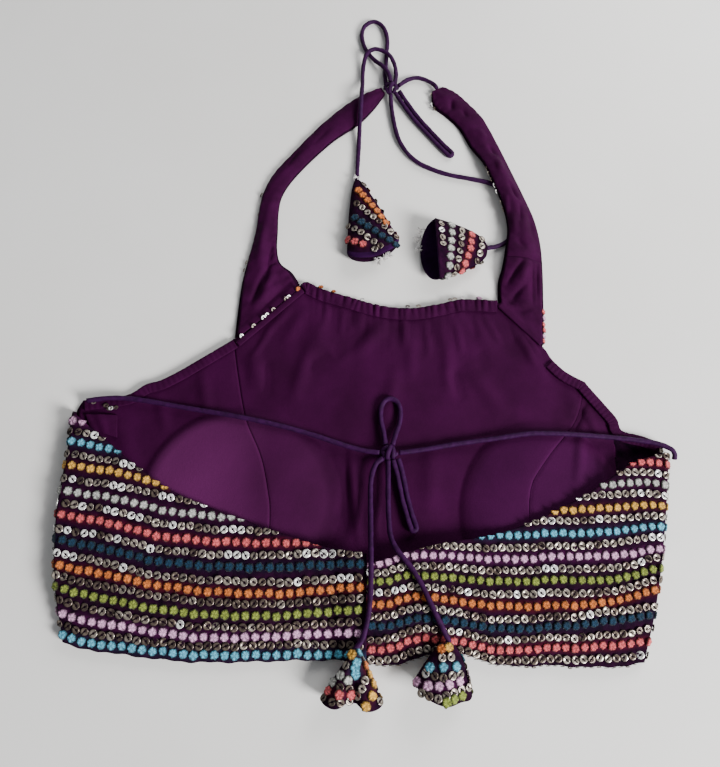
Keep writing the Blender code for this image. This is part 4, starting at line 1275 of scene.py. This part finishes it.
def make_front():
    """Front cloth, its lining with the cups under it, in three panels each."""
    seam_left = edge(PRINCESS_LEFT)[::-1]
    seam_right = edge(PRINCESS_RIGHT)[::-1]
    side_left = front_side(BACK_LEFT, ARMHOLE_LEFT[0])
    side_right = front_side(BACK_RIGHT, CORNER_RIGHT)
    top_centre = edge(ROOT_LEFT, NECKLINE, ROOT_RIGHT, ARMHOLE_CENTRE_RIGHT)
    lining_right = edge(LINING_SIDE_RIGHT)[::-1]
    layers = (
        ("front", "base", "embroidered_cloth", 0.0, 2 * SEAM, lambda x, y: 0.0, side_right,
         ARMHOLE_SIDE_RIGHT),
        ("lining", "lining", "lining_cloth", LINING_INSET, LINING_GAP, creased, lining_right,
         ARMHOLE_SIDE_RIGHT[:2] + (LINING_SIDE_RIGHT[0],)),
    )
    for layer, finish, slot, inset, gap, height, right_edge, armhole in layers:
        centre_grid, side_grid = FRONT_GRIDS[layer]
        top = shift(top_centre, 0.0, -inset)
        hem = hem_line(seam_left[0][0], seam_right[0][0], HEM_INSET + inset)
        left = [hem[0]] + [p for p in seam_left if hem[0][1] < p[1] < top[0][1]] + [top[0]]
        right = [hem[-1]] + [p for p in seam_right if hem[-1][1] < p[1] < top[-1][1]] + [top[-1]]
        panels = [("centre", (hem, top, left, right), centre_grid)]
        outer = shift(side_left, inset)
        outer = [(outer[0][0], outer[0][1] + inset)] + outer[1:]
        seam = shift(left, -gap)
        top = shift(edge(ARMHOLE_LEFT), 0.0, -inset)
        top = [outer[-1]] + top[1:-1] + [seam[-1]]
        hem = hem_line(outer[0][0], seam[0][0], HEM_INSET + inset)
        panels.append(("side_left", ([outer[0]] + hem[1:-1] + [seam[0]], top, outer, seam), side_grid))
        seam = shift(right, gap)
        outer = shift(right_edge, -inset)
        top = shift(edge(armhole), 0.0, -inset)
        top = [seam[-1]] + top[1:-1] + [outer[-1]]
        hem = hem_line(seam[0][0], outer[0][0], HEM_INSET + inset)
        outer = [hem[-1]] + [p for p in outer if p[1] > hem[-1][1]]
        panels.append(("side_right", ([seam[0]] + hem[1:], top, seam, outer), side_grid))
        for place, edges, size in panels:
            grid = raised(coons(edges, *size), height)
            x, y = grid[..., 0], grid[..., 1]
            out = np.clip((-190.0 - x) / 10.0, 0, 1) * np.exp(-((y - CORNER_TIP[1] - 4.0) / 9.0) ** 2)
            grid[..., 0] -= CORNER_BULGE * out
            piece = shell(f"panel_{layer}_{place}", grid, CLOTH, finish)
            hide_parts(f"{layer}_{place}")
            if layer == "lining":
                # The lining takes painted light over the cups
                tint(piece, painted_cup_light(grid))
            declare(piece)


def painted_cup_light(grid):
    """How much painted light falls on the lining over each bust cup at each point, where the slopes of its
    dome catch the light.
    """
    for side, cup in CUPS.items():
        x, y = grid[..., 0], grid[..., 1]
        r = np.hypot((x - cup.x) / cup.half_x, (y - cup.y) / cup.half_y)
        # Painted light: the left cup is lighter towards its left side, whose slope faces the light; the right
        # cup takes a faint even share
        outer = np.clip((cup.x + 20.0 - x) / 70.0, 0, 1) if side == "left" else 0.1
        yield side, np.clip((1.0 - r) * 7.0, 0, 1) * (0.3 + 0.7 * outer)


def make_cups():
    """Foam bust cups: flat below, domed above."""
    for side, cup in CUPS.items():
        sides, rings = 72, 16
        points = []
        for ring in range(rings):
            r = CUP_RIM * (1.0 - (ring / rings) ** 1.6)
            for k in range(sides):
                angle = 2 * math.pi * k / sides
                x, y = cup.x + cup.half_x * r * math.cos(angle), cup.y + cup.half_y * r * math.sin(angle)
                points.append((x, y, LINING_Z + cup_rise(x, y) - CUP_SINK))
        points.append((cup.x, cup.y, LINING_Z + CUP_RISE - CUP_SINK))
        faces = [quad[::-1] for quad in ring_faces(0, rings - 1, sides)]
        last = (rings - 1) * sides
        faces += [(last + k, last + (k + 1) % sides, rings * sides) for k in range(sides)]
        base = len(points)
        points += [(x, y, LINING_Z) for x, y, _ in points[:sides]]
        faces += [(base + k, base + (k + 1) % sides, (k + 1) % sides, k) for k in range(sides)]
        faces.append(tuple(base + k for k in range(sides))[::-1])
        foam = add_piece("padding_" + side, points, faces, "cover")
        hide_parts("cup_" + side)


# Creases of the straps, from and to, half width and rise
STRAP_CREASES = (
    (-67, 116.5, -69.5, 88.5, 1.6, -0.9), (-73, 79, -77, 41, 2.2, -1.6), (-67, 62, -76, 58.5, 1.6, -0.9),
    (-79, 94.5, -82, 55.5, 3.2, 1), (-76.5, 55.5, -86.5, 27, 2, -1.3), (-70.5, 52.5, -78.5, 31, 2.6, 1.1),
    (-65.5, 44, -86, 22, 3, 1.2), (-61, 37.5, -80.5, 16.5, 2, -0.9), (-57, 138.5, -63.5, 117.5, 1.6, -0.6),
    (-53.5, 159.5, -64, 143, 1.8, -0.4), (-30, 180, -44, 163, 2, -0.4), (-70, 86, -67, 70.5, 1.4, 0.6),
    (68, 208.5, 68.5, 196.5, 2.2, -1), (76.5, 198.5, 80, 190, 2, -0.7), (88.5, 179.5, 94.5, 168, 2.6, 0.6),
    (96, 163.5, 100.5, 151.5, 2.2, -1.1), (102, 149.5, 103.5, 135, 2.2, 0.7),
    (109, 127.5, 115, 111.5, 1.8, -1.1),
    (106, 117, 106.5, 101, 1.8, 0.7), (116, 109, 116, 91.5, 1.8, -1), (110.5, 101, 111, 82, 2.4, 0.8),
    (124, 104.5, 123.5, 78.5, 2.2, -0.5), (101.5, 64.5, 132.5, 61.5, 1.3, -1.4),
    (117, 62.5, 101.5, 39.5, 1.8, -1.2),
    (120, 60, 113, 43.5, 2.6, 0.9), (123, 60, 121, 24, 1.5, -1.3), (118, 43.5, 103, 26.5, 2, -1.1),
    (101, 20, 121, 22, 1.5, -1.2), (102.5, 25, 119.5, 26.5, 1.8, 0.8), (126.5, 61, 124.5, 22, 1, -0.8),
    (111.5, 78.5, 118.5, 70, 2.5, -0.8), (129.5, 60, 127.5, 29, 1.5, 0.5),
)
# Each strap lining's way on over the front at its root, and the height it has there
ROOT_LAP = {"left": (0.683, -0.730), "right": (-0.757, -0.653)}
ROOT_LAP_Z = 3.1
# Steps along and across a strap's lining, its length in sections that its crown and lap are stated
# in, rise of its edge puckers and of its pulls, and gain of its creases
STRAP_STEPS, STRAP_ACROSS, STRAP_SHARES = 190, 22, 24
STRAP_PUCKER, STRAP_PULL, STRAP_GAIN = 0.26, 0.22, 2.0


def make_straps():
    """Straps: embroidered cloth below, and the lining above it gathered at its edges."""
    for side, sections in (("left", STRAP_LEFT), ("right", STRAP_RIGHT)):
        grid = np.array([
            [strap_point(sections, i / STRAP_STEPS, k / 4, STRAP_Z) for k in range(5)]
            for i in range(STRAP_STEPS + 1)
        ])
        sign = 1.0 if side == "right" else -1.0
        outer = shell("strap_outer_" + side, grid, CLOTH, "base", offset=sign)
        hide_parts(f"strap_{side}_outer")
        declare(outer)
        rows = []
        for i in range(STRAP_STEPS + 1):
            share = STRAP_SHARES * i / STRAP_STEPS
            crown = STRAP_CROWN * blend(share / 3) * blend((STRAP_SHARES - share) / 2)
            lap = (ROOT_LAP_Z - LINING_Z) * blend(1 - share / 1.2)
            row = []
            for k in range(STRAP_ACROSS + 1):
                a = k / STRAP_ACROSS
                at = STRAP_PEEK + (1 - 2 * STRAP_PEEK) * a
                edge_near = math.exp(-((min(a, 1 - a)) / 0.16) ** 2)
                phase = i * 0.85 + 2.4 * math.sin(i / 9.0) + (0 if a < 0.5 else 1.9)
                pucker = STRAP_PUCKER * edge_near * math.sin(phase)
                pull = STRAP_PULL * math.sin(a * 9.0 - i / 8.0) * math.sin(math.pi * a)
                height = LINING_Z + crown * math.sin(math.pi * a) ** 0.8
                x, y, z = strap_point(sections, i / STRAP_STEPS, at, height)
                relief = pucker * blend(share / 2) + pull + 0.3 * edge_near
                relief += STRAP_GAIN * sum(ridge(x, y, fold) for fold in STRAP_CREASES)
                row.append((x, y, max(z + relief, LINING_Z + 0.05) + lap))
            rows.append(row)
        ahead = np.array((*ROOT_LAP[side], 0.0))
        widen = np.linspace(1.0, 1.7, STRAP_ACROSS + 1)[:, None]
        rows = [np.array(rows[0]) + ahead * reach * widen for reach in (2.6, 1.7, 0.8)] + rows
        grid = np.array(rows)
        lining = shell("strap_lining_" + side, grid, CLOTH * 0.8, "facing", offset=sign)
        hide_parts(f"strap_{side}_lining")
        declare(lining)


def strip_grid(line, width, columns, rows, height):
    """Grid of a cloth strip along an outline, its width to the right of the line's direction."""
    line = np.array(line, dtype=float)
    run = run_of(line)
    grid = np.empty((columns + 1, rows + 1, 3))
    for c in range(columns + 1):
        share = c / columns
        shares = (max(share - 0.02, 0), share, min(share + 0.02, 1))
        before, here, after = (points_at(line, run, place * run[-1]) for place in shares)
        ahead = (after - before) / np.linalg.norm(after - before)
        for r in range(rows + 1):
            reach = width * (1 - r / rows)
            x, y = here[0] + ahead[1] * reach, here[1] - ahead[0] * reach
            grid[c, r] = (x, y, height(x, y, share, r / rows))
    return grid


# Facings: roll and ripple of an armhole facing, depth of the neck's stitch line, how far the neck
# facing's lower edge tapers, and where the turned seam lies off the root's outline
FACING_ROLL, FACING_RIPPLE = 0.35, 0.12
NECK_STITCH = 0.3
NECK_TAPER = 0.45
ROOT_SHIFT = (1.2, -4.2)


def make_facings():
    """Gathered neck facing, armhole facings, the turned seam at the left root and the side flap."""
    def on_lining(x, y):
        return lining_under(x, y) + CLOTH + SEAM + FACING_SPARE

    def rolled(x, y, share, across):
        roll = FACING_ROLL * math.sin(math.pi * across) ** 0.7
        return on_lining(x, y) + roll + FACING_RIPPLE * math.sin(share * 190)

    def puckered(x, y, share, across):
        phase = 2 * math.pi * NECK_PUCKERS * share
        wave = 0.5 - 0.5 * math.cos(phase + 1.7 * math.sin(share * 23.0) + 0.8 * math.sin(share * 61.0))
        wave *= 0.65 + 0.35 * math.sin(share * 47.0 + 1.0)
        fine = 0.10 * math.sin(1.7 * phase + 3.0 * across)
        stitch = -NECK_STITCH * math.exp(-((across - 0.14) / 0.06) ** 2)
        crest = PUCKER_RISE * wave * (0.25 + 0.75 * across) + fine * across + stitch
        return on_lining(x, y) + crest + neck_gathers(x, y) - NECK_TAPER * (1 - across) ** 3

    neck = shift(edge(NECKLINE), 0.0, -LINING_INSET)
    left = shift(edge(ARMHOLE_LEFT), 0.0, -LINING_INSET)
    right = shift(edge(ARMHOLE_CENTRE_RIGHT[1:], ARMHOLE_SIDE_RIGHT[1:]), -3 * SEAM, -LINING_INSET)
    strips = (
        ("neck_facing", neck, NECK_FACING, 330, 12, puckered),
        ("armhole_facing_left", left, ARMHOLE_FACING, 150, 8, rolled),
        ("armhole_facing_right", right, ARMHOLE_FACING, 150, 8, rolled),
    )
    for name, line, width, columns, rows, height in strips:
        grid = strip_grid(line, width, columns, rows, height)
        piece = shell(name.replace("facing", "binding"), grid, FACING_WALL, "facing")
        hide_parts(name)
        declare(piece)
    grid = strip_grid(shift(edge(ROOT_LEFT), *ROOT_SHIFT), ROOT_TRIM, 60, 6, rolled)
    piece = shell("root_seam_left", grid, CLOTH, "facing")
    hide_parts("root_trim_left")
    declare(piece)
    make_flap()


def make_flap():
    """Side seam allowance turned in at the left corner."""
    (ax, ay), (bx, by), (cx, cy), (dx, dy) = SIDE_FLAP
    columns, rows = 40, 24
    grid = np.empty((columns + 1, rows + 1, 3))
    for c in range(columns + 1):
        for r in range(rows + 1):
            u, v = c / columns, r / rows
            x = (dx * (1 - u) + cx * u) * (1 - v) + (ax * (1 - u) + bx * u) * v
            y = (dy * (1 - u) + cy * u) * (1 - v) + (ay * (1 - u) + by * u) * v
            fold = 1.2 * math.sin(math.pi * u) + 0.35 * math.sin(u * 14 + 1.5 * v) * (1 - u)
            grid[c, r] = (x, y, lining_under(x, y) + CLOTH + SEAM + 0.1 + fold)
    piece = shell("side_allowance_left", grid, CLOTH, "facing")
    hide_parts("side_flap_left")
    declare(piece)


def on_top(grid, ups, spots):
    """Frames at plan points on the upper face of a tassel; a point beside it is left out."""
    seen = ups[..., 2] > 0.05
    points, normals = grid[seen], ups[seen]
    frames = []
    for x, y, ahead in spots:
        away = np.hypot(points[:, 0] - x, points[:, 1] - y)
        near = away.argsort()[:4]
        if away[near[0]] < TASSEL_SPARE:
            weights = 1.0 / (away[near] + 0.2)
            place = (points[near] * weights[:, None]).sum(axis=0) / weights.sum()
            up = (normals[near] * weights[:, None]).sum(axis=0)
            frames.append(Frame(place, ahead, up, None))
    return frames


def walk(points, pitch):
    """Plan points at an even pitch along a charted row, with the row's direction."""
    points = np.array(points, dtype=float)
    if len(points) == 1:
        return [(*points[0], np.array((1.0, 0.2, 0.0)))]
    run = run_of(points)
    count = max(round(run[-1] / pitch), 1)
    spots = []
    for k in range(count + 1):
        goal = run[-1] * k / count
        x, y = points_at(points, run, goal)
        ahead = points[min(np.searchsorted(run, goal + 0.01), len(points) - 1)] - (x, y)
        if k == count:
            ahead = points[-1] - points[-2]
        spots.append((x, y, np.array((*ahead, 0.0))))
    return spots


def make_tufts(name, tufts):
    """Frayed white threads at the mouths of the neck tassels."""
    points, faces = [], []
    for x, y, z, count in tufts:
        for _ in range(count):
            turn, lean, length = rng.uniform(0, 6.28), rng.uniform(0.2, 1.0), rng.uniform(1.6, 3.8)
            bend = rng.uniform(-0.8, 0.8)
            for step in range(TUFT_RINGS):
                share = step / (TUFT_RINGS - 1)
                out = length * share * math.cos(lean * (1 - share))
                angle = turn + bend * share
                rise = length * share * math.sin(lean) * 0.6
                at = np.array((x + out * math.cos(angle), y + out * math.sin(angle), z + rise))
                for around in (0, 2 * math.pi / 3, 4 * math.pi / 3):
                    ring = np.array((math.cos(around), math.sin(around), 0.5 * math.sin(around)))
                    points.append(at + TUFT_THREAD * ring)
            faces += [quad[::-1] for quad in ring_faces(len(points) - 3 * TUFT_RINGS, TUFT_RINGS - 1, 3)]
    return add_piece(name, points, faces, "tuft")


def make_tassels():
    """Cone tassels: embroidered outside, lined inside, with rows that follow the photograph."""
    made = {}
    for place, tassel in TASSELS.items():
        grid = np.array([
            [tassel_point(tassel, step / TASSEL_STEPS, turn) for step in range(TASSEL_STEPS + 1)]
            for turn in (2 * math.pi * k / TASSEL_AROUND for k in range(TASSEL_AROUND))
        ])
        cone = shell("cone_" + place, grid, TASSEL_WALL, "inside", closed=True,
                     other="rows")
        # The face on the grid takes the slot after its quad's own, so the plain hem there has the third
        cone.data.materials.append(FINISH["inside"])
        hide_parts("latkan_" + place)
        hem = TASSEL_STEPS - TASSEL_HEMS.get(place, 0)
        for k, polygon in enumerate(cone.data.polygons):
            if k % TASSEL_STEPS >= hem:
                polygon.material_index = 1
        ups = normals_of(grid, closed=True)
        if ((grid - grid.mean(axis=0, keepdims=True)) * ups).sum() < 0:
            ups = -ups
        stitches = Stitches()
        threads = []
        kinds = []
        for kind, *points in TASSEL_ROWS[place]:
            form = "sequin" if kind == "sequin" else "flower"
            frames = on_top(grid, ups, walk(points, TASSEL_PITCH[form]))
            stitches.row(kind, frames, TASSEL_SHINE, TASSEL_SIZE[form])
            threads += [(kind, frame.place) for frame in frames if kind in THREAD_TINT_AND_CUP_LIGHT]
            if len(points) > 1 and kind not in kinds[-1:]:
                kinds.append(kind)
        for number, kind in enumerate(kinds):
            share = TASSEL_STEPS * (number + 0.9) / (len(kinds) + 0.6)
            frames = stations(grid, ups, [(k, share) for k in TASSEL_BELOW], FLOWER_PITCH["left"], 0.5)
            frames = [frame._replace(cut=None) for frame in frames]
            stitches.row(kind, frames, TASSEL_SHINE, TASSEL_SIZE["below"])
        tint(cone, [
            (kind, np.exp(-(np.linalg.norm(grid.reshape(-1, 3) - at, axis=1) / HALO_REACH) ** 2))
            for kind, at in threads
        ])
        parts = stitches.build("stitch_cone_" + place, floor=True)
        if place in TUFTS:
            parts.append(make_tufts("tuft_" + place, TUFTS[place]))
        declare(cone, parts)
        made[place] = cone
    return made


# Steps of a tassel's grid round it and from apex to mouth, how many of the latter are its plain hem,
# its columns that turn to the floor, its wall, how far from the cloth a charted stitch may lie in
# plan, pitch and size of its stitches, shares of sequins painted bright and middling for their glint, and
# the frayed threads: half width and rings of one, and the place and number of each tuft
TASSEL_AROUND, TASSEL_STEPS = 64, 36
TASSEL_HEMS = {"neck_left": 2}
TASSEL_BELOW = range(34, 63)
TASSEL_WALL = 0.9
TASSEL_SPARE = 2.0
TASSEL_PITCH = {"sequin": 5.7, "flower": 6.5}
TASSEL_SIZE = {"sequin": 0.95, "flower": 1.06, "below": 0.92}
TASSEL_SHINE = (0.12, 0.45)
TUFT_THREAD, TUFT_RINGS = 0.24, 5
TUFTS = {
    "neck_left": ((7.5, 62, 1.4, 24), (11.5, 64.5, 1.6, 24), (15.5, 67, 1.8, 18), (-8, 134, 4.6, 14)),
    "neck_right": ((40, 88, 2.2, 16), (37.5, 81, 2.0, 30), (39, 72.5, 2.0, 16)),
}

# Rows of each tassel: kind and plan places; a row of one place is one stitch
TASSEL_ROWS = {
    "neck_left": (
        ("sequin", (-3.5, 127.5)), ("orange", (-7.5, 121), (2.5, 107.5), (13.5, 91.5)),
        ("sequin", (-8.5, 108.5), (5.5, 94), (21, 79)), ("navy", (-10, 96), (2.5, 85), (21, 71.5)),
        ("sequin", (-15, 89.5), (-3, 80), (9, 69.5)), ("coral", (-16, 77.5), (-10, 74.5), (-4, 71.5)),
        ("sequin", (5, 67)),
    ),
    "neck_right": (
        ("sequin", (85.5, 78), (85, 70.5), (81, 59.5)), ("coral", (78, 80.5), (76.5, 69.5), (69.5, 50)),
        ("sequin", (70.5, 82.5), (69, 70.5), (64, 46.5)),
        ("silver", (62.5, 86.5), (62, 73.5), (59, 45.5)), ("sequin", (54.5, 86.5), (55, 68.5)),
    ),
    "back_left": (
        ("mustard", (-11, -215)), ("sky", (-6.5, -213)), ("sky", (-8, -219.5)), ("sky", (-9, -223)),
        ("sky", (-9, -226.5)), ("sequin", (-14.5, -221.5)), ("silver", (-18, -227), (-13.5, -230)),
        ("silver", (-22.5, -231)), ("sequin", (-18, -233.5), (-12.5, -234.5)),
        ("coral", (-25.5, -236), (-20.5, -238), (-11.5, -238)),
        ("sequin", (-28, -240), (-21.5, -242.5), (-12.5, -242)), ("orange", (-1.5, -221)),
        ("mustard", (0.5, -226)), ("sequin", (-3, -230)), ("sequin", (-5, -234.5)),
        ("sequin", (-7, -238.5)), ("mustard", (2, -232), (2.5, -237), (0, -241), (-2.5, -244.5)),
        ("sequin", (6, -242)),
    ),
    "back_right": (
        ("mustard", (49, -211)), ("orange", (44.5, -212)), ("sequin", (44.5, -217), (50, -216.5)),
        ("sky", (37, -222.5), (43, -222.5), (53, -222)),
        ("sequin", (34.5, -226), (43, -228.5), (55.5, -226.5)),
        ("pink", (29, -231), (38.5, -234), (55, -230.5)),
        ("sequin", (31, -237.5), (41, -240), (56, -235)), ("olive", (46, -242), (56, -238.5)),
        ("sequin", (61, -226)), ("sequin", (61.5, -230)), ("sequin", (60.5, -234)),
    ),
}


# Floor and lights, in metres and watts: half size and height of the floor, its finish, the world's
# colour and strength, and each light's place, size and power
FLOOR_HALF, FLOOR_Z = 3, -0.0004
WORLD_COLOUR, WORLD_STRENGTH = (0.93, 0.96, 1.0, 1.0), 0.28
FLOOR_FINISH = ((0.80, 0.78, 0.75), (0.86, 0.85, 0.83), 0.42, 3.0)
LIGHTS = (
    ("key", (1.50, -1.10, 1.10), 0.7, 105.0),
    ("fill", (0.75, 0.95, 0.72), 0.8, 15.0),
)


def make_stage():
    """Pale floor and soft studio light."""
    data = bpy.data.meshes.new("floor")
    corners = [(x * FLOOR_HALF, y * FLOOR_HALF, FLOOR_Z) for x, y in ((-1, -1), (1, -1), (1, 1), (-1, 1))]
    data.from_pydata(corners, [], [(0, 1, 2, 3)])
    floor = bpy.data.objects.new("floor", data)
    data.materials.append(material("floor", *FLOOR_FINISH))
    bpy.context.scene.collection.objects.link(floor)
    world = bpy.data.worlds.new("studio")
    world.use_nodes = True
    background = world.node_tree.nodes["Background"]
    background.inputs["Color"].default_value = WORLD_COLOUR
    background.inputs["Strength"].default_value = WORLD_STRENGTH
    bpy.context.scene.world = world
    for name, place, size, power in LIGHTS:
        light = bpy.data.lights.new(name, "AREA")
        light.size = size
        light.energy = power
        lamp = bpy.data.objects.new(name, light)
        lamp.location = place
        lamp.rotation_euler = (-Vector(place)).to_track_quat("-Z", "Y").to_euler()
        bpy.context.scene.collection.objects.link(lamp)


FINISH = make_materials()
make_camera()
cords, cord_lengths = make_cords()
knots = {
    "back": make_knot("bow_back", BACK_KNOT, BACK_TURNS, "back_knot"),
    "neck": make_knot("bow_neck", NECK_KNOT, NECK_TURNS, "neck_knot"),
}
make_cups()
make_front()
make_back()
make_straps()
make_facings()
tassels = make_tassels()
declare_cords(cords)
make_stage()
